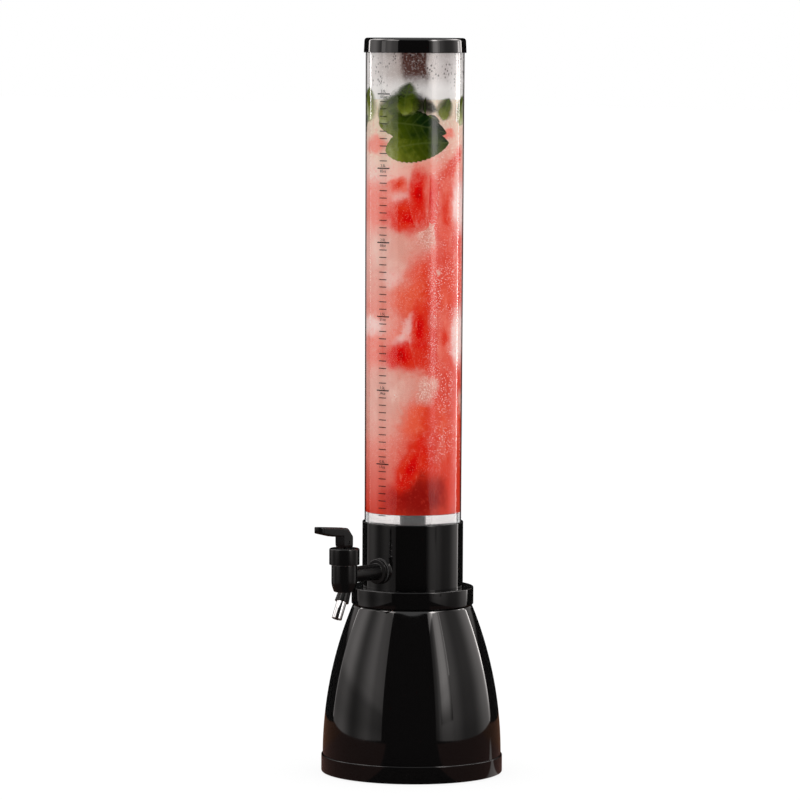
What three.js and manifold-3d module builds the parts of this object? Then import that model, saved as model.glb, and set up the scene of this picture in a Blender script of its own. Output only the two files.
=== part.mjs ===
import * as THREE from "three";
import { mergeVertices } from "three/addons/utils/BufferGeometryUtils.js";
import Module from "manifold-3d";

// Table drinks tower: a clear tank on a bell base, with a self-closing tap.
// Millimetres, +Z up, origin on the tank axis at table level, tap towards -Y.

// Fits, used wherever two pieces meet
const fit = 0.3;
const runningGap = 0.25;
const overrun = 2;

// Base cover: the dish that closes the bell and stands on the table
const footRadius = 92.45;
const footHeight = 18.3;
const footLedge = 1.4;
const footEdge = 1.2;
const coverFloor = 3;
const coverPadStep = 1.7;
const rimSeatDepth = 10;
const padMargin = 16.45;
const padThickness = 2;

// Bell: the hollow shell of the base, with the socket for the tank
const bellHeight = 154.7;
const bellWall = 3;
const bellShoulder = 1.95;
const deckThickness = 3;
const deckWidth = 8;
const spigotWall = 3;

// Screws that hold the cover in the bell
const screwCount = 4;
const bossRadius = 5;
const bossBite = 1.45;
const bossHeight = 25;
const screwHeadRadius = 3;
const screwHeadHeight = 1.9;
const screwRadius = 1.5;
const screwLength = 16;

// Locking collar: the captive ring nut round the neck
const collarHeight = 17.4;
const collarWall = 3;
const collarPlate = 3.1;
const collarEdge = 1.4;

// Tank tube, its floor and its gasket
const tubeLength = 500;
const tubeTopRadius = 50.05;
const tubeDraft = 0.9;
const tubeWall = 3.85;
const tubeEdge = 0.6;
const gasketThickness = 2.5;
const floorThickness = 9;
const floorRise = 9.8;
const floorSkirtWall = 3;
const drainRadius = 9;

// Neck: the black housing under the tube, with the tap chamber inside
const socketWall = 1.9;
const socketDepth = 13.5;
const neckWall = 3.5;
const neckRise = 66.8;
const neckEdge = 1;
const neckFloor = 3;
const flangeWidth = 7.25;
const flangeThickness = 4;
const sleeveWall = 3;
const sleeveLength = 6.8;
const ledgeWidth = 1.7;
const ledgeThickness = 3;
const tapBossStandOut = 0.85;
const tapBossMargin = 0.6;
const tapSpotDepth = 0.15;
const sumpClearance = 1.3;

// Lid
const lidHeight = 15;
const lidWall = 1.65;
const lidPlate = 3.7;
const lidEdge = 1.6;
const lidPlugWall = 2.5;
const lidPlugDepth = 12;
const lidPlugGap = 0.6;
const lidSealHeight = 2.6;
const lidSealDepth = 1.2;
const lidSealDrop = 5.4;

// Tap body: shank through the neck, barrel with the valve inside
const tapClearance = 6.1;
const shankShown = 36.5;
const shankRadius = 8.15;
const shankBore = 5.2;
const shankTail = 2.4;
const shankFlangeThickness = 3.2;
const washerRadius = 12.6;
const washerThickness = 2;
const nutAcrossFlats = 22;
const nutThickness = 7;
const barrelRadius = 13;
const barrelTop = 11.3;
const barrelBottom = 16;
const barrelRoundHeight = 9;
const barrelRoundWidth = 3;
const threadStep = 1.6;
const valveWall = 3.8;
const valveFloor = 7;
const seatHoleRadius = 4;

// Bonnet, stem, valve plug and spring
const bonnetStep = 2.25;
const bonnetHeight = 16.5;
const bonnetPlate = 3.5;
const bonnetEdge = 1.3;
const bonnetThreadGap = 0.4;
const flowGap = 1.7;
const stemRadius = 2.2;
const stemShoulderHeight = 2;
const stemShoulderLift = 1.5;
const eyeWall = 2.25;
const plugHeight = 11.7;
const plugChamfer = 2.2;
const plugFloor = 2.2;
const sealWidth = 1.45;
const sealHeight = 1.6;
const sealPocketDepth = 2;
const springWire = 0.6;
const springInset = 0.6;
const springTurns = 5;

// Lever, measured from its pin: out is away from the tank
const leverTiltDegrees = 25;
const leverWidth = 12;
const leverSideEdge = 1;
const leverFootGap = 0.4;
const leverFootHalf = 7;
const leverFootChamfer = 1.2;
const leverPinHeight = 5.6;
const leverBackHeight = 6;
const leverKneeHeight = 14.6;
const leverKneeRound = 1.5;
const leverArmReach = 43;
const leverArmRise = 3.9;
const leverArmDepth = 7.2;
const leverTipRound = 6;
const leverTipEdge = 1.2;
const pinRadius = 1.5;
const pinRecess = 0.5;

// Spout: socket under the barrel and the metal tip in it
const spoutTiltDegrees = 25;
const spoutDrop = 23.1;
const spoutSocketRadius = 7.25;
const spoutSocketTopRadius = 6;
const spoutSocketBelow = 3.3;
const spoutSocketAbove = 12;
const tipRadius = 5.15;
const tipWall = 1;
const tipShown = 18;
const tipHeld = 6;
const passageLength = 3.5;

// Drink and leaves in the tank
const headspace = 58.3;
const leafThickness = 1.6;

// Facets
const tankSides = 48;
const tapSides = 24;
const smallSides = 12;
const nutSides = 6;
const bellArcSteps = 8;
const roundSteps = 3;
const curveSteps = 6;
const springStepsPerTurn = 10;
const springSides = 3;
const mergeTolerance = 1e-4;

// Finishes
const finishes = {
  blackGloss: { color: 0x0b0b0c, roughness: 0.12, metalness: 0 },
  blackSatin: { color: 0x141415, roughness: 0.35, metalness: 0 },
  clear: { color: 0xf2f6f7, roughness: 0.05, metalness: 0, transparent: true, opacity: 0.25 },
  rubber: { color: 0x1a1a1a, roughness: 0.8, metalness: 0 },
  silicone: { color: 0xd9dcd8, roughness: 0.5, metalness: 0 },
  chrome: { color: 0xdadcde, roughness: 0.08, metalness: 1 },
  steel: { color: 0xa9adb0, roughness: 0.3, metalness: 1 },
  drink: { color: 0xe8574a, roughness: 0.15, metalness: 0, transparent: true, opacity: 0.8 },
  melon: { color: 0xdf2a1c, roughness: 0.5, metalness: 0 },
  ice: { color: 0xf3ddd8, roughness: 0.2, metalness: 0 },
  mint: { color: 0x2f5a14, roughness: 0.45, metalness: 0 },
};

// Fruit and ice. Each row places a piece by its turn round the tank from the tap and its height
// in the drink, and gives its size in shares of the tank's bore and its lean as a share of a turn.
const melonShares = [
  { turn: 0.06, height: 0.735, across: 0.6, up: 0.42, deep: 0.3, lean: 0.03 },
  { turn: 0.25, height: 0.76, across: 0.36, up: 0.3, deep: 0.26, lean: -0.06 },
  { turn: 0.45, height: 0.8, across: 0.5, up: 0.4, deep: 0.3, lean: 0.08 },
  { turn: 0.72, height: 0.76, across: 0.5, up: 0.4, deep: 0.28, lean: -0.04 },
  { turn: 0.07, height: 0.395, across: 0.58, up: 0.42, deep: 0.3, lean: 0.05 },
  { turn: 0.3, height: 0.42, across: 0.44, up: 0.36, deep: 0.28, lean: -0.05 },
  { turn: 0.55, height: 0.48, across: 0.5, up: 0.44, deep: 0.28, lean: -0.05 },
  { turn: 0.82, height: 0.4, across: 0.42, up: 0.36, deep: 0.26, lean: 0.07 },
  { turn: 0.17, height: 0.075, across: 0.44, up: 0.32, deep: 0.3, lean: -0.02 },
  { turn: 0.62, height: 0.14, across: 0.52, up: 0.4, deep: 0.3, lean: 0.06 },
];
const iceShares = [
  { turn: 0.02, height: 0.6, across: 0.34, up: 0.34, deep: 0.34, lean: 0.06 },
  { turn: 0.2, height: 0.58, across: 0.32, up: 0.32, deep: 0.32, lean: -0.05 },
  { turn: 0.4, height: 0.62, across: 0.34, up: 0.34, deep: 0.34, lean: 0.1 },
  { turn: 0.75, height: 0.6, across: 0.34, up: 0.34, deep: 0.34, lean: 0.04 },
  { turn: 0.03, height: 0.24, across: 0.32, up: 0.32, deep: 0.32, lean: -0.08 },
  { turn: 0.36, height: 0.27, across: 0.34, up: 0.34, deep: 0.34, lean: 0.07 },
];
const leafShares = [
  { turn: 0.115, height: 0.893, across: 0.64, up: 0.4, deep: 0.5, lean: 0.02 },
  { turn: 0.03, height: 0.962, across: 0.36, up: 0.24, deep: 0.5, lean: -0.03 },
  { turn: 0.47, height: 0.93, across: 0.5, up: 0.3, deep: 0.5, lean: -0.04 },
  { turn: 0.79, height: 0.9, across: 0.56, up: 0.34, deep: 0.5, lean: 0.05 },
];

// Radii that pieces share, worked out from the tube
const tubeFootRadius = tubeTopRadius - tubeDraft;
const tubeBore = tubeTopRadius - tubeWall;
const contentsRadius = tubeBore - fit;
const neckRadius = tubeFootRadius + fit + socketWall;
const chamberRadius = neckRadius - neckWall;
const ledgeRadius = tubeBore - ledgeWidth;
const flangeRadius = neckRadius + flangeWidth;
const spigotRadius = flangeRadius + fit;
const spigotBore = spigotRadius - spigotWall;
const sleeveRadius = spigotBore - fit;
const collarBore = spigotRadius + fit;
const collarRadius = collarBore + collarWall;
const bellTopRadius = collarRadius - bellShoulder;
const bellFootRadius = footRadius - footLedge;
const lidRadius = tubeTopRadius + fit + lidWall;
const tapBossRadius = washerRadius + tapBossMargin;
const nutCornerRadius = nutAcrossFlats / Math.sqrt(3);

// Heights that pieces share, worked out from the table up
const bellFootZ = footHeight - rimSeatDepth;
const bellTopZ = footHeight + bellHeight;
const collarFootZ = bellTopZ + fit;
const collarTopZ = collarFootZ + collarHeight;
const flangeTopZ = collarTopZ - collarPlate - fit;
const flangeFootZ = flangeTopZ - flangeThickness;
const spigotTopZ = flangeFootZ - fit;
const neckTopZ = collarTopZ + neckRise;
const tubeFootZ = neckTopZ - socketDepth;
const tubeTopZ = tubeFootZ + tubeLength;
const ledgeTopZ = tubeFootZ - gasketThickness - 2 * fit;
const ledgeUnderZ = ledgeTopZ - ledgeThickness;
const floorTopZ = neckTopZ + floorRise;
const floorUnderZ = floorTopZ - floorThickness;
const lidUnderZ = tubeTopZ + fit;
const lidTopZ = lidUnderZ + lidPlate;
const drinkFootZ = floorTopZ + fit;
const drinkTopZ = lidUnderZ - headspace;
const drinkHeight = drinkTopZ - drinkFootZ;
const tapAxisZ = collarTopZ + tapClearance + tapBossRadius;
const chamberFloorZ = tapAxisZ - Math.max(tapBossRadius, nutCornerRadius) - sumpClearance;

// Distances from the tank axis of what the tap shank clamps, along the tap direction
const bossFace = neckRadius + tapBossStandOut;
const shankFlangeFace = bossFace + fit + washerThickness + fit;
const tapReach = shankFlangeFace + shankFlangeThickness + shankShown + barrelRadius;
const innerSeat = chamberRadius + tapSpotDepth;
const nutFace = innerSeat - fit - washerThickness - fit;
const nutEnd = nutFace - nutThickness;
const shankEnd = nutEnd - shankTail;

// Radii and heights of the valve, from the point where the tap's shank and barrel axes cross
const valveBore = barrelRadius - valveWall;
const plugRadius = valveBore - flowGap;
const springRadius = plugRadius - springWire - springInset;
const eyeRadius = pinRadius + runningGap + eyeWall;
const bonnetRadius = barrelRadius + bonnetStep;
const bonnetFoot = barrelTop + fit;
const bonnetTop = bonnetFoot + bonnetHeight;
const bonnetUnder = bonnetTop - bonnetPlate;
const pinHeight = bonnetTop + leverFootGap + leverPinHeight;
const plugFoot = fit - valveFloor;
const plugTop = plugFoot + plugHeight;
const shoulderTop = plugTop + stemShoulderLift + stemShoulderHeight;

const wasm = await Module();
wasm.setup();

// Closed geometry to a solid that can be joined and cut, and back
function solidOf(geometry) {
  const bare = geometry.clone();
  bare.deleteAttribute("normal");
  bare.deleteAttribute("uv");
  const merged = mergeVertices(bare, mergeTolerance);
  return new wasm.Manifold(
    new wasm.Mesh({
      numProp: 3,
      vertProperties: new Float32Array(merged.attributes.position.array),
      triVerts: new Uint32Array(merged.index.array),
    }),
  );
}

function geometryOf(solid) {
  const mesh = solid.getMesh();
  const geometry = new THREE.BufferGeometry();
  geometry.setAttribute("position", new THREE.BufferAttribute(new Float32Array(mesh.vertProperties), 3));
  geometry.setIndex(new THREE.BufferAttribute(new Uint32Array(mesh.triVerts), 1));
  geometry.computeVertexNormals();
  return geometry;
}

function join(...geometries) {
  return geometryOf(geometries.map(solidOf).reduce((all, next) => all.add(next)));
}

function cut(geometry, ...cutters) {
  return geometryOf(cutters.map(solidOf).reduce((left, cutter) => left.subtract(cutter), solidOf(geometry)));
}

function common(geometry, other) {
  return geometryOf(solidOf(geometry).intersect(solidOf(other)));
}

// Solid of revolution about Z. The outline of [radius, height] points may run either way round;
// it starts and ends on the axis or is closed here.
function turned(outline, sides) {
  const onAxis = outline[0][0] === 0;
  const points = outline.map(([r, z]) => new THREE.Vector2(r, z));
  if (THREE.ShapeUtils.area(points) < 0) {
    points.reverse();
  }
  if (!onAxis) {
    points.push(points[0].clone());
  }
  return new THREE.LatheGeometry(points, sides).rotateX(Math.PI / 2);
}

function rod(radius, low, high, sides) {
  return turned([[0, low], [radius, low], [radius, high], [0, high]], sides);
}

function sleeve(inner, outer, low, high, sides) {
  return turned([[inner, low], [outer, low], [outer, high], [inner, high]], sides);
}

// Points of a rounded corner, a quarter of an ellipse round its centre
function rounded(centreR, centreZ, halfWidth, halfHeight, startDegrees) {
  return Array.from({ length: roundSteps + 1 }, (_, i) => {
    const angle = THREE.MathUtils.degToRad(startDegrees + (90 * i) / roundSteps);
    return [centreR + halfWidth * Math.cos(angle), centreZ + halfHeight * Math.sin(angle)];
  });
}

// Turns a shape made about Z so that up becomes out from the tank, along -Y
function facingTap(geometry) {
  return geometry.rotateX(Math.PI / 2);
}

const part = new THREE.Group();
const tap = new THREE.Group();
tap.position.set(0, -tapReach, tapAxisZ);
part.add(tap);

function addPiece(parent, name, geometry, finish) {
  const mesh = new THREE.Mesh(geometry, new THREE.MeshStandardMaterial(finish));
  mesh.name = name;
  parent.add(mesh);
  return mesh;
}

// The bell's side is an arc, upright at the foot, that ends at the collar
function bellRadiusAt(z) {
  const fall = bellFootRadius - bellTopRadius;
  const arcRadius = (fall * fall + bellHeight * bellHeight) / (2 * fall);
  const rise = z - footHeight;
  return bellFootRadius - (arcRadius - Math.sqrt(arcRadius * arcRadius - rise * rise));
}

function bellSide(inset, highZ) {
  return Array.from({ length: bellArcSteps + 1 }, (_, i) => {
    const z = footHeight + ((highZ - footHeight) * i) / bellArcSteps;
    return [bellRadiusAt(z) - inset, z];
  });
}

const bossCircle = bellFootRadius - bellWall - bossRadius + bossBite;

function screwPlaces() {
  return Array.from({ length: screwCount }, (_, i) => {
    const angle = ((i + 1 / 2) * 2 * Math.PI) / screwCount;
    return [bossCircle * Math.cos(angle), bossCircle * Math.sin(angle)];
  });
}

function addBase() {
  const padRadius = footRadius - padMargin;
  const padTopZ = padThickness + fit;
  const coverFootZ = padTopZ - coverPadStep;
  const seatZ = bellFootZ - fit;
  const seatInnerRadius = bossCircle - bossRadius - 2 * fit;
  const headSeatZ = coverFootZ + fit + screwHeadHeight + fit;
  const topRound = footLedge / 2;
  const cover = turned(
    [
      [0, padTopZ],
      [padRadius + fit, padTopZ],
      [padRadius + fit, coverFootZ],
      ...rounded(footRadius - footEdge, coverFootZ + footEdge, footEdge, footEdge, -90),
      ...rounded(footRadius - topRound, footHeight - topRound, topRound, topRound, 0),
      [bellFootRadius + fit, footHeight],
      [bellFootRadius + fit, seatZ],
      [seatInnerRadius, seatZ],
      [seatInnerRadius, padTopZ + coverFloor],
      [0, padTopZ + coverFloor],
    ],
    tankSides,
  );
  const screwHoles = screwPlaces().flatMap(([x, y]) => [
    rod(screwHeadRadius + fit, coverFootZ - overrun, headSeatZ, smallSides).translate(x, y, 0),
    rod(screwRadius + fit, coverFootZ, seatZ + overrun, smallSides).translate(x, y, 0),
  ]);
  addPiece(part, "base_cover", cut(cover, ...screwHoles), finishes.blackGloss);
  addPiece(part, "anti_slip_pad", rod(padRadius, 0, padThickness, tankSides), finishes.rubber);

  const screwTopZ = headSeatZ - fit + screwLength;
  const screw = turned(
    [
      [0, coverFootZ + fit],
      [screwHeadRadius, coverFootZ + fit],
      [screwHeadRadius, headSeatZ - fit],
      [screwRadius, headSeatZ - fit],
      [screwRadius, screwTopZ],
      [0, screwTopZ],
    ],
    smallSides,
  );
  screwPlaces().forEach(([x, y], i) => {
    addPiece(part, `base_screw_${i + 1}`, screw, finishes.steel).position.set(x, y, 0);
  });

  const shell = turned(
    [
      [bellFootRadius, bellFootZ],
      ...bellSide(0, bellTopZ),
      [spigotRadius, bellTopZ],
      [spigotRadius, spigotTopZ],
      [spigotBore, spigotTopZ],
      [spigotBore, bellTopZ],
      [spigotBore - deckWidth, bellTopZ],
      [spigotBore - deckWidth, bellTopZ - deckThickness],
      ...bellSide(bellWall, bellTopZ - deckThickness).reverse(),
      [bellFootRadius - bellWall, bellFootZ],
    ],
    tankSides,
  );
  const bosses = screwPlaces().map(([x, y]) =>
    rod(bossRadius, bellFootZ, bellFootZ + bossHeight, smallSides).translate(x, y, 0),
  );
  const pilots = screwPlaces().map(([x, y]) =>
    rod(screwRadius + fit, bellFootZ - overrun, screwTopZ + fit, smallSides).translate(x, y, 0),
  );
  addPiece(part, "bell_base", cut(join(shell, ...bosses), ...pilots), finishes.blackGloss);
}

function addCollar() {
  const plateUnderZ = collarTopZ - collarPlate;
  const collar = turned(
    [
      [collarBore, collarFootZ],
      [collarRadius, collarFootZ],
      ...rounded(collarRadius - collarEdge, collarTopZ - collarEdge, collarEdge, collarEdge, 0),
      [neckRadius + fit, collarTopZ],
      [neckRadius + fit, plateUnderZ],
      [collarBore, plateUnderZ],
    ],
    tankSides,
  );
  addPiece(part, "locking_collar", collar, finishes.blackGloss);
}

function addNeck() {
  const shell = turned(
    [
      [0, chamberFloorZ - neckFloor],
      [chamberRadius, chamberFloorZ - neckFloor],
      [chamberRadius, flangeFootZ],
      [sleeveRadius - sleeveWall, flangeFootZ],
      [sleeveRadius - sleeveWall, flangeFootZ - sleeveLength],
      [sleeveRadius, flangeFootZ - sleeveLength],
      [sleeveRadius, flangeFootZ],
      [flangeRadius, flangeFootZ],
      [flangeRadius, flangeTopZ],
      [neckRadius, flangeTopZ],
      ...rounded(neckRadius - neckEdge, neckTopZ - neckEdge, neckEdge, neckEdge, 0),
      [tubeFootRadius + fit, neckTopZ],
      [tubeFootRadius + fit, ledgeTopZ],
      [ledgeRadius, ledgeTopZ],
      [ledgeRadius, ledgeUnderZ],
      [chamberRadius, ledgeUnderZ],
      [chamberRadius, chamberFloorZ],
      [0, chamberFloorZ],
    ],
    tankSides,
  );
  const insideStart = chamberRadius - tapBossRadius;
  const boss = facingTap(rod(tapBossRadius, innerSeat + tapSpotDepth, bossFace, tapSides));
  const spotFace = facingTap(rod(tapBossRadius, insideStart, innerSeat, tapSides));
  const shankHole = facingTap(rod(shankRadius + fit, insideStart, bossFace + overrun, tapSides));
  const housing = cut(
    join(shell, boss.translate(0, 0, tapAxisZ)),
    spotFace.translate(0, 0, tapAxisZ),
    shankHole.translate(0, 0, tapAxisZ),
  );
  addPiece(part, "neck_housing", housing, finishes.blackGloss);
}

function addTube() {
  const gasket = sleeve(ledgeRadius + fit, tubeFootRadius, ledgeTopZ + fit, tubeFootZ - fit, tankSides);
  addPiece(part, "tube_gasket", gasket, finishes.silicone);
  const tube = turned(
    [
      [tubeBore, tubeFootZ],
      [tubeFootRadius, tubeFootZ],
      ...rounded(tubeTopRadius - tubeEdge, tubeTopZ - tubeEdge, tubeEdge, tubeEdge, 0),
      [tubeBore, tubeTopZ],
    ],
    tankSides,
  );
  addPiece(part, "tank_tube", tube, finishes.clear);
  const floor = turned(
    [
      [drainRadius, floorUnderZ],
      [contentsRadius - floorSkirtWall, floorUnderZ],
      [contentsRadius - floorSkirtWall, tubeFootZ],
      [contentsRadius, tubeFootZ],
      [contentsRadius, floorTopZ],
      [drainRadius, floorTopZ],
    ],
    tankSides,
  );
  addPiece(part, "tank_floor", floor, finishes.clear);
}

function addLid() {
  const plugOuter = tubeBore - lidPlugGap;
  const plugInner = plugOuter - lidPlugWall;
  const grooveTopZ = lidUnderZ - lidSealDrop;
  const grooveFootZ = grooveTopZ - lidSealHeight;
  const skirtBore = lidRadius - lidWall;
  const cap = turned(
    [
      [0, lidUnderZ],
      [plugInner, lidUnderZ],
      [plugInner, lidUnderZ - lidPlugDepth],
      [plugOuter, lidUnderZ - lidPlugDepth],
      [plugOuter, grooveFootZ],
      [plugOuter - lidSealDepth, grooveFootZ],
      [plugOuter - lidSealDepth, grooveTopZ],
      [plugOuter, grooveTopZ],
      [plugOuter, lidUnderZ],
      [skirtBore, lidUnderZ],
      [skirtBore, lidTopZ - lidHeight],
      [lidRadius, lidTopZ - lidHeight],
      ...rounded(lidRadius - lidEdge, lidTopZ - lidEdge, lidEdge, lidEdge, 0),
      [0, lidTopZ],
    ],
    tankSides,
  );
  addPiece(part, "lid", cap, finishes.blackGloss);
  const sealInner = plugOuter - lidSealDepth + fit;
  const seal = sleeve(sealInner, tubeBore - runningGap, grooveFootZ + fit, grooveTopZ - fit, tankSides);
  addPiece(part, "lid_seal", seal, finishes.silicone);
}

// A piece on the tap's shank, made between two distances from the tank axis
function onShank(geometry) {
  return facingTap(geometry.translate(0, 0, -tapReach));
}

// A piece on the spout's axis, which leans out from the tank on its way down
function onSpout(geometry) {
  return geometry.rotateX(-THREE.MathUtils.degToRad(spoutTiltDegrees)).translate(0, 0, -spoutDrop);
}

function addTapBody() {
  const roundCentreR = barrelRadius - barrelRoundWidth;
  const roundCentreZ = barrelRoundHeight - barrelBottom;
  const barrel = turned(
    [
      [0, -barrelBottom],
      ...rounded(roundCentreR, roundCentreZ, barrelRoundWidth, barrelRoundHeight, -90),
      [barrelRadius, barrelTop],
      [barrelRadius - threadStep, barrelTop],
      [barrelRadius - threadStep, bonnetUnder - fit],
      [0, bonnetUnder - fit],
    ],
    tapSides,
  );
  const shank = onShank(rod(shankRadius, shankEnd, tapReach, tapSides));
  const flangeEnd = shankFlangeFace + shankFlangeThickness;
  const flange = onShank(rod(washerRadius, shankFlangeFace, flangeEnd, tapSides));
  const socket = turned(
    [
      [0, -spoutSocketBelow],
      [spoutSocketRadius, -spoutSocketBelow],
      [spoutSocketTopRadius, spoutSocketAbove],
      [0, spoutSocketAbove],
    ],
    tapSides,
  );
  const tipTop = tipHeld - spoutSocketBelow;
  const passageRadius = tipRadius - tipWall;
  const valveChamber = rod(valveBore, -valveFloor, bonnetUnder + overrun, tapSides);
  const inlet = rod(shankBore, shankEnd - overrun, tapReach, tapSides);
  const seatHole = rod(seatHoleRadius, passageLength - spoutDrop, overrun - valveFloor, smallSides);
  const tipSocket = rod(tipRadius + fit, -spoutSocketBelow - overrun, tipTop + fit, tapSides);
  const passage = rod(passageRadius, tipTop, tipTop + fit + passageLength, smallSides);
  const body = cut(
    join(barrel, shank, flange, onSpout(socket)),
    valveChamber,
    onShank(inlet),
    seatHole,
    onSpout(tipSocket),
    onSpout(passage),
  );
  addPiece(tap, "tap_body", body, finishes.blackSatin);
  const tip = sleeve(passageRadius, tipRadius, -spoutSocketBelow - tipShown, tipTop, tapSides);
  addPiece(tap, "spout_tip", onSpout(tip), finishes.chrome);
}

function addClamping() {
  const hole = shankRadius + fit;
  const outerWasher = sleeve(hole, washerRadius, bossFace + fit, shankFlangeFace - fit, tapSides);
  addPiece(tap, "outer_washer", onShank(outerWasher), finishes.rubber);
  const innerWasher = sleeve(hole, washerRadius, nutFace + fit, innerSeat - fit, tapSides);
  addPiece(tap, "inner_washer", onShank(innerWasher), finishes.rubber);
  const hexagon = rod(nutCornerRadius, nutEnd, nutFace, nutSides);
  const nut = cut(hexagon, rod(hole, nutEnd - overrun, nutFace + overrun, tapSides));
  addPiece(tap, "shank_nut", onShank(nut), finishes.blackSatin);
}

function addBonnet() {
  const threadBore = barrelRadius - threadStep + bonnetThreadGap;
  const stemBore = stemRadius + runningGap;
  const pocketRadius = stemBore + sealWidth + fit;
  const pocketTop = bonnetUnder + sealPocketDepth;
  const bonnet = turned(
    [
      [threadBore, bonnetFoot],
      [bonnetRadius, bonnetFoot],
      ...rounded(bonnetRadius - bonnetEdge, bonnetTop - bonnetEdge, bonnetEdge, bonnetEdge, 0),
      [stemBore, bonnetTop],
      [stemBore, pocketTop],
      [pocketRadius, pocketTop],
      [pocketRadius, bonnetUnder],
      [threadBore, bonnetUnder],
    ],
    tapSides,
  );
  addPiece(tap, "tap_bonnet", bonnet, finishes.blackSatin);
  const sealTop = pocketTop - fit;
  const seal = sleeve(stemBore, stemBore + sealWidth, sealTop - sealHeight, sealTop, tapSides);
  addPiece(tap, "stem_seal", seal, finishes.silicone);
}

function addStem() {
  const stemFoot = plugFoot + plugFloor + fit;
  const shaft = rod(stemRadius, stemFoot, pinHeight, smallSides);
  const shoulder = rod(plugRadius, plugTop + stemShoulderLift, shoulderTop, tapSides);
  const eye = rod(eyeRadius, -stemRadius, stemRadius, tapSides).rotateY(Math.PI / 2);
  const pinHole = rod(pinRadius + runningGap, -eyeRadius, eyeRadius, smallSides).rotateY(Math.PI / 2);
  const solidStem = join(shaft, shoulder, eye.translate(0, 0, pinHeight));
  addPiece(tap, "tap_stem", cut(solidStem, pinHole.translate(0, 0, pinHeight)), finishes.blackSatin);
  const plug = turned(
    [
      [0, plugFoot],
      [plugRadius - plugChamfer, plugFoot],
      [plugRadius, plugFoot + plugChamfer],
      [plugRadius, plugTop - plugChamfer],
      [plugRadius - plugChamfer, plugTop],
      [stemRadius + fit, plugTop],
      [stemRadius + fit, plugFoot + plugFloor],
      [0, plugFoot + plugFloor],
    ],
    tapSides,
  );
  addPiece(tap, "seat_plug", plug, finishes.silicone);
}

class SpringCurve extends THREE.Curve {
  constructor(low, high) {
    super();
    this.low = low;
    this.high = high;
  }

  getPoint(share, target = new THREE.Vector3()) {
    const angle = share * springTurns * 2 * Math.PI;
    const height = this.low + (this.high - this.low) * share;
    return target.set(springRadius * Math.cos(angle), springRadius * Math.sin(angle), height);
  }
}

function addSpring() {
  const endGap = springWire + fit;
  const wire = new THREE.Shape();
  wire.absarc(0, 0, springWire, 0, 2 * Math.PI);
  const spring = new THREE.ExtrudeGeometry(wire, {
    extrudePath: new SpringCurve(shoulderTop + endGap, bonnetUnder - endGap),
    steps: springTurns * springStepsPerTurn,
    curveSegments: springSides,
    bevelEnabled: false,
  });
  addPiece(tap, "return_spring", spring, finishes.steel);
}

// Side view of the lever: x is the way out from the pin, y is up
function leverSide() {
  const armSlope = leverArmRise / leverArmReach;
  const backSlope = (leverKneeHeight - leverBackHeight) / leverFootHalf;
  const topAt = (out) => leverKneeHeight + armSlope * out;
  const underAt = (out) => topAt(out) - leverArmDepth;
  const side = new THREE.Shape();
  side.moveTo(leverFootChamfer - leverFootHalf, -leverPinHeight);
  side.lineTo(leverFootHalf - leverFootChamfer, -leverPinHeight);
  side.lineTo(leverFootHalf, leverFootChamfer - leverPinHeight);
  side.lineTo(leverFootHalf, underAt(leverFootHalf));
  side.lineTo(leverArmReach - leverTipRound, underAt(leverArmReach - leverTipRound));
  const noseHeight = topAt(leverArmReach) - leverTipEdge;
  side.quadraticCurveTo(leverArmReach, underAt(leverArmReach), leverArmReach, noseHeight);
  side.lineTo(leverArmReach - leverTipEdge, topAt(leverArmReach - leverTipEdge));
  side.lineTo(leverKneeRound, topAt(leverKneeRound));
  side.quadraticCurveTo(0, leverKneeHeight, -leverKneeRound, leverKneeHeight - backSlope * leverKneeRound);
  side.lineTo(-leverFootHalf, leverBackHeight);
  side.lineTo(-leverFootHalf, leverFootChamfer - leverPinHeight);
  side.closePath();
  return side;
}

// Plan view of the lever: x is the way out from the pin, y is across, with a round tip
function leverPlan() {
  const half = leverWidth / 2;
  const plan = new THREE.Shape();
  plan.moveTo(leverSideEdge - leverFootHalf, -half);
  plan.lineTo(leverArmReach - half, -half);
  plan.absarc(leverArmReach - half, 0, half, -Math.PI / 2, Math.PI / 2);
  plan.lineTo(leverSideEdge - leverFootHalf, half);
  plan.lineTo(-leverFootHalf, half - leverSideEdge);
  plan.lineTo(-leverFootHalf, leverSideEdge - half);
  plan.closePath();
  return plan;
}

function addLever() {
  const lowest = -leverPinHeight - overrun;
  const highest = leverKneeHeight + leverArmRise + overrun;
  const sideDepth = leverWidth + overrun;
  const flat = { bevelEnabled: false, curveSegments: curveSteps };
  const side = new THREE.ExtrudeGeometry(leverSide(), { ...flat, depth: sideDepth });
  const plan = new THREE.ExtrudeGeometry(leverPlan(), { ...flat, depth: highest - lowest });
  side.translate(0, 0, -sideDepth / 2).rotateX(Math.PI / 2);
  const blank = common(side, plan.translate(0, 0, lowest));

  const tilt = THREE.MathUtils.degToRad(leverTiltDegrees);
  const slotFront = stemRadius / Math.cos(tilt) + leverPinHeight * Math.tan(tilt) + fit;
  const slotBack = eyeRadius + fit;
  const slotTop = eyeRadius + fit;
  const slotHeight = slotTop - lowest;
  const slot = new THREE.BoxGeometry(slotFront + slotBack, 2 * (stemRadius + fit), slotHeight);
  slot.translate((slotFront - slotBack) / 2, 0, slotTop - slotHeight / 2);
  const pinHole = rod(pinRadius + runningGap, -leverWidth, leverWidth, smallSides).rotateX(Math.PI / 2);
  const lever = cut(blank, slot, pinHole).rotateZ(-Math.PI / 2);
  addPiece(tap, "tap_lever", lever, finishes.blackSatin).position.set(0, 0, pinHeight);

  const pinHalf = leverWidth / 2 - pinRecess;
  const pin = rod(pinRadius, -pinHalf, pinHalf, smallSides).rotateY(Math.PI / 2);
  addPiece(tap, "lever_pin", pin, finishes.steel).position.set(0, 0, pinHeight);
}

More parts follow.
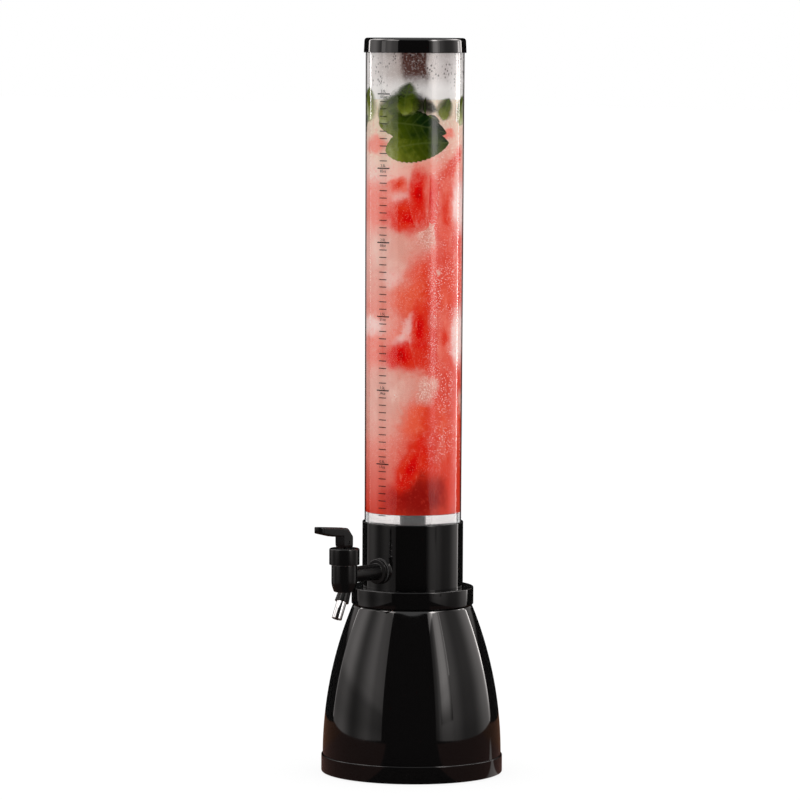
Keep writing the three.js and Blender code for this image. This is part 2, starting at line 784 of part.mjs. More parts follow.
// A unit shape scaled to a row's size, leaned, and set against the tube wall
function inTank(unitShape, row, growth) {
  const bore = 2 * tubeBore;
  const shape = unitShape.clone();
  shape.scale(row.across * bore + growth, row.deep * bore + growth, row.up * bore + growth);
  shape.rotateY(row.lean * 2 * Math.PI);
  shape.translate(0, -contentsRadius, 0);
  shape.rotateZ(row.turn * 2 * Math.PI);
  return shape.translate(0, 0, drinkFootZ + row.height * drinkHeight);
}

function addContents() {
  const skirtInside = contentsRadius - floorSkirtWall - fit;
  const liquid = turned(
    [
      [0, chamberFloorZ + fit],
      [chamberRadius - fit, chamberFloorZ + fit],
      [chamberRadius - fit, ledgeUnderZ - fit],
      [skirtInside, ledgeUnderZ - fit],
      [skirtInside, floorUnderZ - fit],
      [drainRadius - fit, floorUnderZ - fit],
      [drainRadius - fit, drinkFootZ],
      [contentsRadius, drinkFootZ],
      [contentsRadius, drinkTopZ],
      [0, drinkTopZ],
    ],
    tankSides,
  );
  const clampSpaces = [
    rod(shankRadius + fit, shankEnd - fit, neckRadius, tapSides),
    rod(nutCornerRadius + fit, nutEnd - fit, neckRadius, tapSides),
    rod(washerRadius + fit, nutFace, neckRadius, tapSides),
  ].map((space) => facingTap(space).translate(0, 0, tapAxisZ));

  const column = rod(contentsRadius, drinkFootZ, drinkTopZ, tankSides);
  const leafInner = contentsRadius - leafThickness;
  const skin = sleeve(leafInner, contentsRadius, drinkFootZ, drinkTopZ, tankSides);
  const skinSpace = sleeve(leafInner - fit, contentsRadius + overrun, drinkFootZ, drinkTopZ, tankSides);
  const chunk = new THREE.IcosahedronGeometry(1 / 2, 1);
  const cube = new THREE.BoxGeometry(1, 1, 1);
  const leaf = new THREE.SphereGeometry(1 / 2, smallSides, smallSides / 2).rotateX(Math.PI / 2);
  const kinds = [
    { name: "melon_piece", shape: chunk, rows: melonShares, finish: finishes.melon, within: column },
    { name: "ice_cube", shape: cube, rows: iceShares, finish: finishes.ice, within: column },
    { name: "mint_leaf", shape: leaf, rows: leafShares, finish: finishes.mint, within: skin },
  ];
  const notches = kinds.flatMap(({ name, shape, rows, finish, within }) =>
    rows.map((row, i) => {
      addPiece(part, `${name}_${i + 1}`, common(inTank(shape, row, 0), within), finish);
      const notch = inTank(shape, row, 2 * fit);
      return within === skin ? common(notch, skinSpace) : notch;
    }),
  );
  addPiece(part, "drink", cut(liquid, ...clampSpaces, ...notches), finishes.drink);
}

addBase();
addCollar();
addNeck();
addTube();
addLid();
addTapBody();
addClamping();
addBonnet();
addStem();
addSpring();
addLever();
addContents();

export default part;
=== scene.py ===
import math

import bmesh
import bpy
import numpy as np
from mathutils import Matrix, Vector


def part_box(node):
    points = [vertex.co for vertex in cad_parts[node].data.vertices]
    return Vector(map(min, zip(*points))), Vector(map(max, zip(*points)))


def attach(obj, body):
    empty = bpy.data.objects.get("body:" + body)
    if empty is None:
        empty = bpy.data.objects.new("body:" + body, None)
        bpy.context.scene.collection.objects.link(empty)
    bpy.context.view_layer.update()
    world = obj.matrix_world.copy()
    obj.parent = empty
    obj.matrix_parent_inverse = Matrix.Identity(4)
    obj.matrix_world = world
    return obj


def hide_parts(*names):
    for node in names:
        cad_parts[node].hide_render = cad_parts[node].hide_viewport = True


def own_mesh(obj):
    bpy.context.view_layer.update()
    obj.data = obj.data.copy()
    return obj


# A table drinks tower in a plain white studio. Metres, +Z up, tank on the Z axis, tap towards -Y.
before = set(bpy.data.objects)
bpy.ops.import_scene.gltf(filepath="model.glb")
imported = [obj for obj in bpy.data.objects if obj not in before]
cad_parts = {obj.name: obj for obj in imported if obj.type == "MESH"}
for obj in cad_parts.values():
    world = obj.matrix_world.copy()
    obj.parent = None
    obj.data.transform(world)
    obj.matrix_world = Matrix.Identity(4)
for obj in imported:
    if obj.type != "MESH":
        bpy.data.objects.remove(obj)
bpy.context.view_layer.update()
print("frame loaded")


# Small tools for shaders


def srgb(red, green, blue):
    # A colour given as it looks on screen, 0 to 255, as the linear colour that shaders use
    shown = np.array([red, green, blue]) / 255
    linear = np.where(shown <= 0.04045, shown / 12.92, ((shown + 0.055) / 1.055) ** 2.4)
    return (*linear.tolist(), 1.0)


wallSettings = {
    "front": 39.5,  # degrees from the tap to the front
    "radius": 0.0462,
    # glow and mistGlow set the strength of the painted glow in the drink and in the mist
    "glow": 0.15,
    "mistGlow": 0.25,
    "mistLift": 1.3,  # the air behind the mist is bright too
    "veil": 0.02,
    "darkest": 0.0015,
    "lit": 0.46,
    "carried": 0.96,
    "thrownBack": 0.337,
}


def throughWall(red, green, blue, glow=wallSettings["glow"]):
    # The colour to write for what lies on the inside of the tube, to be seen as given. The wall throws part
    # of its light back, and the cloudy drink carries a little light through itself, given as a painted glow:
    # of a colour a this leaves y = (lit + carried glow) a / (1 - thrownBack a). The tube's own shine lies
    # over that as a thin veil.
    w = wallSettings
    seen = np.clip(np.array(srgb(red, green, blue)[:3]) - w["veil"], w["darkest"], 1)
    return (*(seen / (w["lit"] + w["carried"] * glow + w["thrownBack"] * seen)).tolist(), 1.0)


def wallStops(*rows, glow=wallSettings["glow"]):
    # Stops of a colour ramp: each row is a place from 0 to 1 and the colour seen there
    return [(place, throughWall(*seen, glow)) for place, *seen in rows]


def addNode(tree, kind, **settings):
    node = tree.nodes.new(kind)
    for key, value in settings.items():
        setattr(node, key, value)
    return node


def feed(tree, socket, value):
    # A socket takes another socket's output, or a plain value
    if isinstance(value, bpy.types.NodeSocket):
        tree.links.new(value, socket)
    else:
        socket.default_value = value


def drive(tree, node, **values):
    # Feeds a node's inputs; keyword names are socket names without spaces
    for key, value in values.items():
        feed(tree, next(socket for socket in node.inputs if socket.name.replace(" ", "") == key), value)
    return node


def calc(tree, operation, *values):
    node = addNode(tree, "ShaderNodeMath", operation=operation)
    for socket, value in zip(node.inputs, values):
        feed(tree, socket, value)
    return node.outputs[0]


def plus(tree, first, second):
    return calc(tree, "ADD", first, second)


def minus(tree, first, second):
    return calc(tree, "SUBTRACT", first, second)


def times(tree, first, *others):
    for value in others:
        first = calc(tree, "MULTIPLY", first, value)
    return first


def ease(tree, value, low, high, toLow=0.0, toHigh=1.0):
    # Smooth step from low to high
    node = addNode(tree, "ShaderNodeMapRange", interpolation_type="SMOOTHSTEP")
    drive(tree, node, Value=value, FromMin=low, FromMax=high, ToMin=toLow, ToMax=toHigh)
    return node.outputs["Result"]


def blendColour(tree, amount, first, second):
    node = addNode(tree, "ShaderNodeMix", data_type="RGBA")
    feed(tree, node.inputs["Factor"], amount)
    colours = [socket for socket in node.inputs if socket.type == "RGBA"]
    feed(tree, colours[0], first)
    feed(tree, colours[1], second)
    return next(socket for socket in node.outputs if socket.type == "RGBA")


def colourRamp(tree, amount, stops):
    node = addNode(tree, "ShaderNodeValToRGB")
    elements = node.color_ramp.elements
    while len(elements) < len(stops):
        elements.new(1.0)
    for element, (position, colour) in zip(elements, stops):
        element.position = position
        element.color = colour
    return drive(tree, node, Fac=amount).outputs["Color"]


def noise(tree, place, scale, detail=3.0, roughness=0.5, distortion=0.0):
    node = addNode(tree, "ShaderNodeTexNoise")
    drive(tree, node, Vector=place, Scale=scale, Detail=detail, Roughness=roughness, Distortion=distortion)
    return node.outputs["Fac"]


def cells(tree, place, scale):
    node = addNode(tree, "ShaderNodeTexVoronoi", feature="F1")
    return drive(tree, node, Vector=place, Scale=scale).outputs["Distance"]


def stretched(tree, place, scale=(1, 1, 1), shift=(0, 0, 0), turn=(0, 0, 0), kind="POINT"):
    node = addNode(tree, "ShaderNodeMapping", vector_type=kind)
    return drive(tree, node, Vector=place, Scale=scale, Location=shift, Rotation=turn).outputs["Vector"]


def attribute(tree, name):
    return addNode(tree, "ShaderNodeAttribute", attribute_name=name).outputs["Fac"]


def objectPlace(tree):
    return addNode(tree, "ShaderNodeTexCoord").outputs["Object"]


def splitUp(tree, vector):
    return drive(tree, addNode(tree, "ShaderNodeSeparateXYZ"), Vector=vector).outputs


def roundWall(tree, place):
    # The way round the tank's wall from the front, in metres and positive to the right, and the height
    x, y, z = splitUp(tree, stretched(tree, place, turn=(0, 0, -math.radians(wallSettings["front"]))))
    turn = calc(tree, "ARCTAN2", x, times(tree, y, -1.0))
    return times(tree, turn, wallSettings["radius"]), z


def bumped(tree, height, strength, distance):
    node = addNode(tree, "ShaderNodeBump")
    return drive(tree, node, Height=height, Strength=strength, Distance=distance).outputs["Normal"]


def newMaterial(name, **sockets):
    # A Principled material with some of its sockets set
    material = bpy.data.materials.new(name)
    material.use_nodes = True
    tree = material.node_tree
    return material, tree, drive(tree, tree.nodes["Principled BSDF"], **sockets)


def newGroup(name, inputs, outputs):
    group = bpy.data.node_groups.new(name, "ShaderNodeTree")
    for label, kind, value in inputs:
        socket = group.interface.new_socket(label, in_out="INPUT", socket_type=kind)
        if value is not None:
            socket.default_value = value
    for label, kind in outputs:
        group.interface.new_socket(label, in_out="OUTPUT", socket_type=kind)
    return group, group.nodes.new("NodeGroupInput"), group.nodes.new("NodeGroupOutput")


def useGroup(tree, group, **values):
    return drive(tree, addNode(tree, "ShaderNodeGroup", node_tree=group), **values)


# Finishes shared by several pieces

mouldedSettings = {
    "patchScale": 26.0,
    "patchRange": (0.45, 0.75),
    "hairlines": (900, 900, 60),
    "hairlineRange": (0.62, 0.74),
    "waveScale": 18.0,
    "dustScale": 1400.0,
    "dustHeight": 0.01,
    "bump": 0.25,
}


def makeMouldedGroup(s):
    # Moulded plastic: faint waves from the mould, fine hairlines and patches of handling that dull the gloss
    group, inside, outside = newGroup(
        "mouldedSurface",
        [
            ("Place", "NodeSocketVector", None),
            ("Gloss", "NodeSocketFloat", 0.08),
            ("Handling", "NodeSocketFloat", 0.05),
        ],
        [("Roughness", "NodeSocketFloat"), ("Height", "NodeSocketFloat")],
    )
    place, gloss, handling = [inside.outputs[name] for name in ("Place", "Gloss", "Handling")]
    patches = ease(group, noise(group, place, s["patchScale"], 4.0, 0.6), *s["patchRange"])
    hairlines = noise(group, stretched(group, place, s["hairlines"]), 1.0, 2.0)
    hairlines = ease(group, hairlines, *s["hairlineRange"])
    dulled = times(group, handling, plus(group, patches, hairlines))
    waves = noise(group, place, s["waveScale"], 1.0)
    dust = noise(group, place, s["dustScale"], 2.0)
    height = plus(group, waves, times(group, dust, s["dustHeight"]))
    drive(group, outside, Roughness=plus(group, gloss, dulled), Height=height)
    return group


def makeBrewGroup(s):
    # The cloudy fruit drink. Its colour comes from the height and from soft drifts of melt and juice on the
    # wall, pushed about by noise. On the far side, where none is placed, noise alone lays them.
    group, inside, outside = newGroup(
        "cloudyDrink",
        [("Place", "NodeSocketVector", None)],
        [("Colour", "NodeSocketColor"), ("Height", "NodeSocketFloat")],
    )
    place, tints = inside.outputs["Place"], s["tints"]
    across, height = roundWall(group, place)
    onFlat = addNode(group, "ShaderNodeCombineXYZ")
    pushed = []
    for number, along in enumerate((across, height)):
        coarse = noise(group, stretched(group, place, shift=(number, 0.4, 0.9)), s["pushScale"], 4.0, 0.6)
        pushed.append(plus(group, along, times(group, minus(group, coarse, 0.5), s["push"])))
        feed(group, onFlat.inputs[number], pushed[number])
    rise = calc(group, "DIVIDE", minus(group, pushed[1], s["low"]), s["high"] - s["low"])
    farSide = ease(group, calc(group, "ABSOLUTE", across), s["placedTo"], s["placedTo"] + s["sideFade"])
    toRight = ease(group, pushed[0], *s["leftToRight"])
    toMiddle = times(group, minus(group, 0.5, toRight), farSide)
    sides = [colourRamp(group, rise, s[side]) for side in ("leftByHeight", "rightByHeight")]
    colour = blendColour(group, plus(group, toRight, toMiddle), *sides)
    for tint, squeeze, shift, grain in s["farDrifts"]:
        spread = noise(group, stretched(group, place, (1, 1, squeeze), shift), *grain)
        amount = times(group, ease(group, spread, *s["farRange"], 0.0, s["farAmount"]), farSide)
        colour = blendColour(group, amount, colour, tints[tint])
    for around, high, wide, tall, lean, tint, amount in s["drifts"]:
        size, spot, turn = (wide / 2, tall / 2, 1), (around, high, 0), (0, 0, math.radians(lean))
        away = addNode(group, "ShaderNodeVectorMath", operation="LENGTH")
        feed(group, away.inputs[0], stretched(group, onFlat.outputs[0], size, spot, turn, "TEXTURE"))
        mask = ease(group, away.outputs["Value"], *s["driftEdge"], 0.0, amount)
        colour = blendColour(group, mask, colour, tints[tint])
    overFoot = ease(group, height, *s["foot"])
    slanted = stretched(group, place, (1, 1, s["threadSqueeze"]), s["threadShift"])
    threads = noise(group, slanted, s["threadScale"], 3.0, 0.6, 0.6)
    thread = times(group, ease(group, threads, *s["threadRange"], 0.0, s["threadAmount"]), overFoot)
    colour = blendColour(group, thread, colour, tints["thread"])
    mottle = noise(group, place, s["mottleScale"], 3.0, 0.7)
    pale = times(group, ease(group, mottle, *s["paleRange"], 0.0, s["paleAmount"]), overFoot)
    colour = blendColour(group, pale, colour, tints["thread"])
    reddened = ease(group, mottle, *s["redRange"], 0.0, s["redAmount"])
    colour = blendColour(group, reddened, colour, tints["red"])
    # Painted sparkle: white specks in patches, mostly right of the front and above the foot
    few = ease(group, noise(group, place, s["speckPatches"], 2.0), *s["fewRange"])
    bySide = ease(group, across, s["speckFrom"], s["speckFrom"] + s["sideFade"], s["speckLeft"], 1.0)
    byHeight = ease(group, height, s["speckFoot"], s["speckFoot"] + s["speckFade"])
    sparkleSpecks = ease(group, cells(group, place, s["speckScale"]), *s["speckRange"])
    colour = blendColour(group, times(group, sparkleSpecks, few, bySide, byHeight), colour, tints["speck"])
    # Painted shade: below the drink's lowest shown height, in the tank floor and the neck, the drink turns
    # almost black
    shadeUnderneath = ease(group, height, s["low"], s["low"] - s["underEdge"])
    colour = blendColour(group, shadeUnderneath, colour, tints["sump"])
    drive(group, outside, Colour=colour, Height=plus(group, threads, mottle))
    return group


brewSettings = {
    "low": 0.2676,
    "high": 0.686,
    "underEdge": 0.0012,
    # Height as a share of the drink's, and the body's colour on the left and on the right of the front
    "leftByHeight": wallStops(
        (0.0, 208, 60, 46),
        (0.06, 214, 92, 80),
        (0.147, 224, 122, 108),
        (0.246, 228, 162, 148),
        (0.32, 228, 168, 156),
        (0.39, 227, 126, 112),
        (0.45, 229, 150, 136),
        (0.502, 222, 126, 112),
        (0.573, 226, 152, 138),
        (0.658, 228, 168, 156),
        (0.726, 226, 116, 102),
        (0.778, 226, 140, 128),
        (0.82, 230, 186, 174),
        (0.9, 222, 188, 172),
        (1.0, 206, 194, 164),
    ),
    "rightByHeight": wallStops(
        (0.0, 212, 70, 58),
        (0.065, 212, 66, 54),
        (0.147, 216, 68, 52),
        (0.246, 224, 82, 64),
        (0.319, 218, 76, 62),
        (0.45, 213, 76, 62),
        (0.502, 213, 66, 52),
        (0.573, 223, 80, 62),
        (0.658, 219, 82, 70),
        (0.778, 214, 76, 66),
        (0.84, 228, 142, 126),
        (0.9, 222, 178, 160),
        (1.0, 210, 196, 172),
    ),
    "leftToRight": (-0.03, 0.012),
    "tints": {
        "coral": throughWall(228, 118, 104),
        "red": throughWall(213, 72, 60),
        "orange": throughWall(228, 92, 68),
        "vivid": throughWall(209, 50, 36),
        "deep": throughWall(176, 24, 16),
        "maroon": throughWall(124, 10, 7),
        "beige": throughWall(215, 150, 136),
        "cream": throughWall(216, 194, 166),
        "pale": throughWall(239, 206, 199),
        "milk": throughWall(238, 233, 226),
        "thread": throughWall(241, 178, 162),
        "speck": throughWall(254, 240, 233),
        "sump": throughWall(6, 2, 2),
    },
    # Way round the wall, height, width, tallness, lean in degrees, tint and amount of each drift
    "drifts": [
        (-0.031, 0.642, 0.072, 0.051, 0, "cream", 0.4),
        (-0.048, 0.578, 0.051, 0.049, 0, "coral", 0.75),
        (0.033, 0.555, 0.027, 0.132, 0, "red", 0.8),
        (0.044, 0.622, 0.016, 0.046, -48, "red", 0.95),
        (0.056, 0.581, 0.033, 0.055, 0, "pale", 0.95),
        (-0.018, 0.611, 0.03, 0.022, 0, "thread", 0.55),
        (0.016, 0.586, 0.02, 0.05, 0, "coral", 0.8),
        (-0.015, 0.589, 0.02, 0.014, 20, "pale", 0.4),
        (-0.008, 0.568, 0.05, 0.034, 0, "vivid", 0.8),
        (-0.02, 0.541, 0.084, 0.034, 0, "beige", 0.85),
        (-0.042, 0.507, 0.063, 0.037, 0, "beige", 0.5),
        (-0.022, 0.51, 0.02, 0.032, -30, "pale", 0.4),
        (0.009, 0.486, 0.064, 0.034, 0, "orange", 0.7),
        (-0.052, 0.457, 0.04, 0.018, 0, "pale", 0.85),
        (-0.051, 0.433, 0.046, 0.035, 0, "coral", 0.8),
        (0.011, 0.452, 0.024, 0.06, 0, "red", 0.6),
        (-0.014, 0.446, 0.03, 0.026, 0, "coral", 0.6),
        (-0.0065, 0.457, 0.009, 0.036, -22, "pale", 0.6),
        (-0.013, 0.441, 0.02, 0.014, 20, "pale", 0.5),
        (0.056, 0.447, 0.033, 0.055, 0, "pale", 0.95),
        (0.02, 0.464, 0.014, 0.016, 0, "beige", 0.85),
        (-0.01, 0.427, 0.048, 0.03, 0, "vivid", 0.8),
        (-0.02, 0.399, 0.084, 0.036, 0, "beige", 0.85),
        (-0.044, 0.366, 0.059, 0.041, 0, "beige", 0.5),
        (0.038, 0.387, 0.03, 0.076, 0, "red", 0.8),
        (0.012, 0.362, 0.054, 0.04, 0, "orange", 0.7),
        (0.0, 0.318, 0.028, 0.078, -27, "vivid", 0.85),
        (-0.019, 0.283, 0.034, 0.03, 0, "deep", 0.55),
        (0.004, 0.28, 0.058, 0.034, 0, "maroon", 0.55),
        (0.011, 0.289, 0.044, 0.042, 0, "maroon", 0.75),
        (0.018, 0.469, 0.022, 0.12, 0, "vivid", 0.7),
        (0.018, 0.35, 0.022, 0.09, 0, "vivid", 0.65),
        (0.022, 0.577, 0.02, 0.06, 0, "vivid", 0.5),
        (-0.046, 0.64, 0.036, 0.018, 0, "coral", 0.95),
        (0.036, 0.651, 0.018, 0.011, 0, "coral", 0.95),
        (-0.033, 0.69, 0.028, 0.022, 0, "milk", 0.6),
        (0.041, 0.694, 0.06, 0.018, 0, "milk", 0.7),
    ],
    "driftEdge": (1.4, 0.5),
    # Tint, squeeze in height, shift and noise values of the drifts on the far side
    "farDrifts": [
        ("red", 0.55, (0.3, 0.1, 0.2), (24.0, 3.0, 0.55, 0.8)),
        ("beige", 0.7, (1.7, 0.4, 0.9), (17.0, 4.0, 0.55, 1.1)),
    ],
    "farRange": (0.5, 0.66),
    "farAmount": 0.85,
    "push": 0.02,
    "pushScale": 62.0,
    "placedTo": 0.066,
    "sideFade": 0.02,
    "foot": (0.3, 0.35),
    "threadScale": 60.0,
    "threadSqueeze": 0.28,
    "threadShift": (0.8, 2.1, 0.3),
    "threadRange": (0.56, 0.74),
    "threadAmount": 0.22,
    "mottleScale": 260.0,
    "paleRange": (0.5, 0.75),
    "paleAmount": 0.2,
    "redRange": (0.5, 0.3),
    "redAmount": 0.25,
    "speckPatches": 42.0,
    "fewRange": (0.34, 0.54),
    "speckRange": (0.34, 0.16),
    "speckFrom": 0.006,
    "speckLeft": 0.2,
    "speckFoot": 0.3,
    "speckFade": 0.03,
    "speckScale": 600.0,
}
mouldedGroup = makeMouldedGroup(mouldedSettings)
brewGroup = makeBrewGroup(brewSettings)


def makeMoulded(name, colour, gloss, handling, waveDepth, shine=0.5):
    material, tree, surface = newMaterial(name, BaseColor=colour, Roughness=gloss, SpecularIORLevel=shine)
    skin = useGroup(tree, mouldedGroup, Place=objectPlace(tree), Gloss=gloss, Handling=handling)
    normal = bumped(tree, skin.outputs["Height"], mouldedSettings["bump"], waveDepth)
    drive(tree, surface, Roughness=skin.outputs["Roughness"], Normal=normal)
    return material


clearSettings = {
    "ior": 1.49,
    "hazeScale": 40.0,
    "hazeRange": (0.5, 0.8),
    "haze": 0.03,
    # The tube's painted dark rim
    "edge": (0.7, 0.82),  # how far edge on the wall is seen where it starts and ends to darken
    "edgeColour": srgb(26, 18, 17),
}


def makeClear(name, through, s):
    # Clear polycarbonate, darker where it is seen edge on: a painted dark rim. The drink's skin lies in its
    # inner face, so that it fills the tube to the edge.
    material, tree, surface = newMaterial(name, Roughness=0.0, IOR=s["ior"], TransmissionWeight=1.0)
    haze = ease(tree, noise(tree, objectPlace(tree), s["hazeScale"], 4.0), *s["hazeRange"], 0.0, s["haze"])
    # Painted shade on the rim, where the wall is seen edge on
    rimShade = ease(tree, addNode(tree, "ShaderNodeLayerWeight").outputs["Facing"], *s["edge"])
    drive(tree, surface, Roughness=haze, BaseColor=blendColour(tree, rimShade, through, s["edgeColour"]))
    return material


def makeRubber(s):
    material, tree, surface = newMaterial("padRubber", BaseColor=s["plain"], Roughness=s["gloss"])
    place = objectPlace(tree)
    dust = ease(tree, noise(tree, place, s["dustScale"], 4.0), *s["dustRange"])
    grain = bumped(tree, noise(tree, place, s["grainScale"], 2.0), s["grainBump"], s["grainDepth"])
    drive(tree, surface, BaseColor=blendColour(tree, dust, s["clean"], s["dusty"]), Normal=grain)
    return material


def makeSilicone(s):
    material, tree, surface = newMaterial("sealSilicone", BaseColor=s["colour"], Roughness=s["gloss"])
    drive(tree, surface, SubsurfaceWeight=s["soft"], SubsurfaceRadius=(s["softReach"],) * 3)
    film = ease(tree, noise(tree, objectPlace(tree), s["filmScale"], 3.0), *s["filmRange"], *s["film"])
    drive(tree, surface, Roughness=film)
    return material


metalSettings = {"marks": (60, 60, 2600), "markRange": (0.3, 0.8), "bump": 0.12, "depth": 0.00003}


def makeMetal(name, colour, gloss, streak):
    # Polished or plated metal with fine turning marks across its length
    s = metalSettings
    material, tree, surface = newMaterial(name, BaseColor=colour, Roughness=gloss, Metallic=1.0)
    marks = noise(tree, stretched(tree, objectPlace(tree), s["marks"]), 1.0, 3.0)
    rough = ease(tree, marks, *s["markRange"], gloss, gloss + streak)
    drive(tree, surface, Roughness=rough, Normal=bumped(tree, marks, s["bump"], s["depth"]))
    return material


def makeInk(s):
    material, tree, surface = newMaterial("scaleInk", Roughness=s["gloss"], SpecularIORLevel=s["shine"])
    worn = ease(tree, noise(tree, objectPlace(tree), s["wearScale"], 3.0), *s["wearRange"])
    drive(tree, surface, BaseColor=blendColour(tree, worn, s["fresh"], s["worn"]))
    return material


def paintWithGlow(tree, surface, colour, glow=wallSettings["glow"]):
    # The colour of a thing in the drink, with a painted glow that stands in for the light that comes through
    drive(tree, surface, BaseColor=colour, EmissionColor=colour, EmissionStrength=glow)


def makeDrink(s):
    material, tree, surface = newMaterial("fruitDrink", Roughness=s["gloss"], SpecularIORLevel=0.0)
    brew = useGroup(tree, brewGroup, Place=objectPlace(tree))
    paintWithGlow(tree, surface, brew.outputs["Colour"])
    drive(tree, surface, Normal=bumped(tree, brew.outputs["Height"], s["bump"], s["depth"]))
    return material


fadeSettings = {"frayScale": 75.0, "fray": 1.4, "rim": (0.02, 0.38)}


def fadeMask(tree, place, reach, soft):
    # The piece's own fade attribute, 1 in its middle and 0 at its rim, frayed by noise
    s, fade = fadeSettings, attribute(tree, "fade")
    fray = times(tree, minus(tree, noise(tree, place, s["frayScale"], 4.0, 0.65), 0.5), s["fray"])
    frayed = ease(tree, plus(tree, fade, fray), reach - soft, reach + soft)
    return times(tree, frayed, ease(tree, fade, *s["rim"]))


def makeMelon(s):
    # Red flesh with fibres that run up the piece. At its rim it melts into the drink's own colours.
    # The attribute tone runs from pale coral flesh, 0, to the dark of a piece seen through the drink, 1.
    material, tree, surface = newMaterial("melonFlesh", Roughness=0.5, SpecularIORLevel=0.0)
    place = objectPlace(tree)
    brew = useGroup(tree, brewGroup, Place=place)
    along = stretched(tree, place, (1, 1, s["fibreSqueeze"]))
    fibres = noise(tree, along, s["fibreScale"], 4.0, 0.65, 0.7)
    pulp = minus(tree, noise(tree, place, s["pulpScale"], 4.0, 0.6, 0.5), 0.5)
    tone = plus(tree, attribute(tree, "tone"), times(tree, pulp, s["pulp"]))
    tone = plus(tree, tone, ease(tree, attribute(tree, "fade"), *s["heartRange"], 0.0, s["heart"]))
    flesh = colourRamp(tree, tone, s["byTone"])
    pale = ease(tree, attribute(tree, "tone"), *s["paleRange"], 0.0, s["paleAmount"])
    threads = times(tree, ease(tree, fibres, *s["fibreRange"]), pale)
    flesh = blendColour(tree, threads, flesh, s["fibre"])
    # Painted sparkle in the pale flesh
    sparkle = times(tree, ease(tree, cells(tree, place, s["sparkleScale"]), *s["sparkleRange"]), pale)
    flesh = blendColour(tree, sparkle, flesh, s["fibre"])
    mask = fadeMask(tree, place, s["reach"], s["soft"])
    paintWithGlow(tree, surface, blendColour(tree, mask, brew.outputs["Colour"], flesh))
    drive(tree, surface, Normal=bumped(tree, fibres, s["bump"], s["depth"]))
    return material


def makeIce(s):
    # Cloudy ice: a greyish pink body with lighter veins, and a crust of fine crystals where tone is high
    material, tree, surface = newMaterial("cloudyIce", Roughness=0.4, SpecularIORLevel=0.0)
    place = objectPlace(tree)
    brew = useGroup(tree, brewGroup, Place=place)
    along = stretched(tree, place, (1, 1, s["veinSqueeze"]))
    veins = noise(tree, along, s["veinScale"], 4.0, 0.6, 0.6)
    body = blendColour(tree, ease(tree, veins, *s["veinRange"]), s["body"], s["light"])
    crystals = cells(tree, place, s["crystalScale"])
    crust = noise(tree, place, s["crustScale"], 2.0)
    crust = plus(tree, crust, times(tree, attribute(tree, "tone"), s["crustByTone"]))
    crust = ease(tree, crust, *s["crustRange"], s["leastCrust"], 1.0)
    # Painted sparkle in the crystals' middles
    lit = times(tree, ease(tree, crystals, *s["sparkleRange"], 0.0, s["sparkleAmount"]), crust)
    body = blendColour(tree, lit, body, s["sparkle"])
    # Painted shade in the hollows at the crystals' edges
    shadedHollows = times(tree, ease(tree, crystals, *s["hollowRange"], 0.0, s["hollowAmount"]), crust)
    body = blendColour(tree, shadedHollows, body, s["hollow"])
    mask = fadeMask(tree, place, s["reach"], s["soft"])
    paintWithGlow(tree, surface, blendColour(tree, mask, brew.outputs["Colour"], body))
    drive(tree, surface, Normal=bumped(tree, crystals, s["bump"], s["depth"]))
    return material


def makeLeafMaterial(s):
    # A wet leaf. Attributes: tone from dark to pale, vein, fade from the midrib to the rim, and haze for a
    # leaf that lies deeper in the cloudy drink, so that its rim is lost.
    material, tree, surface = newMaterial("mintLeaf", Roughness=0.5, SpecularIORLevel=0.0)
    place, vein, haze = objectPlace(tree), attribute(tree, "vein"), attribute(tree, "haze")
    patch = minus(tree, noise(tree, place, s["patchScale"], 4.0, 0.65), 0.5)
    tone = plus(tree, attribute(tree, "tone"), times(tree, patch, s["patch"]))
    flesh = colourRamp(tree, tone, s["byTone"])
    colour = blendColour(tree, times(tree, vein, s["veinAmount"]), flesh, s["vein"])
    inner = plus(tree, attribute(tree, "fade"), times(tree, patch, s["patchInFade"]))
    inner = minus(tree, inner, times(tree, haze, s["hazeInFade"]))
    clear = ease(tree, inner, s["lostBelow"], plus(tree, times(tree, haze, s["hazeReach"]), s["rimReach"]))
    clear = times(tree, clear, minus(tree, 1.0, times(tree, haze, s["hazeLoss"])))
    crisp = calc(tree, "LESS_THAN", haze, s["crispBelow"])
    paintWithGlow(tree, surface, colour)
    height = plus(tree, vein, times(tree, noise(tree, place, s["grainScale"], 3.0), s["grain"]))
    normal = bumped(tree, height, s["bump"], s["depth"])
    drive(tree, surface, Alpha=calc(tree, "MAXIMUM", crisp, clear), Normal=normal)
    return material


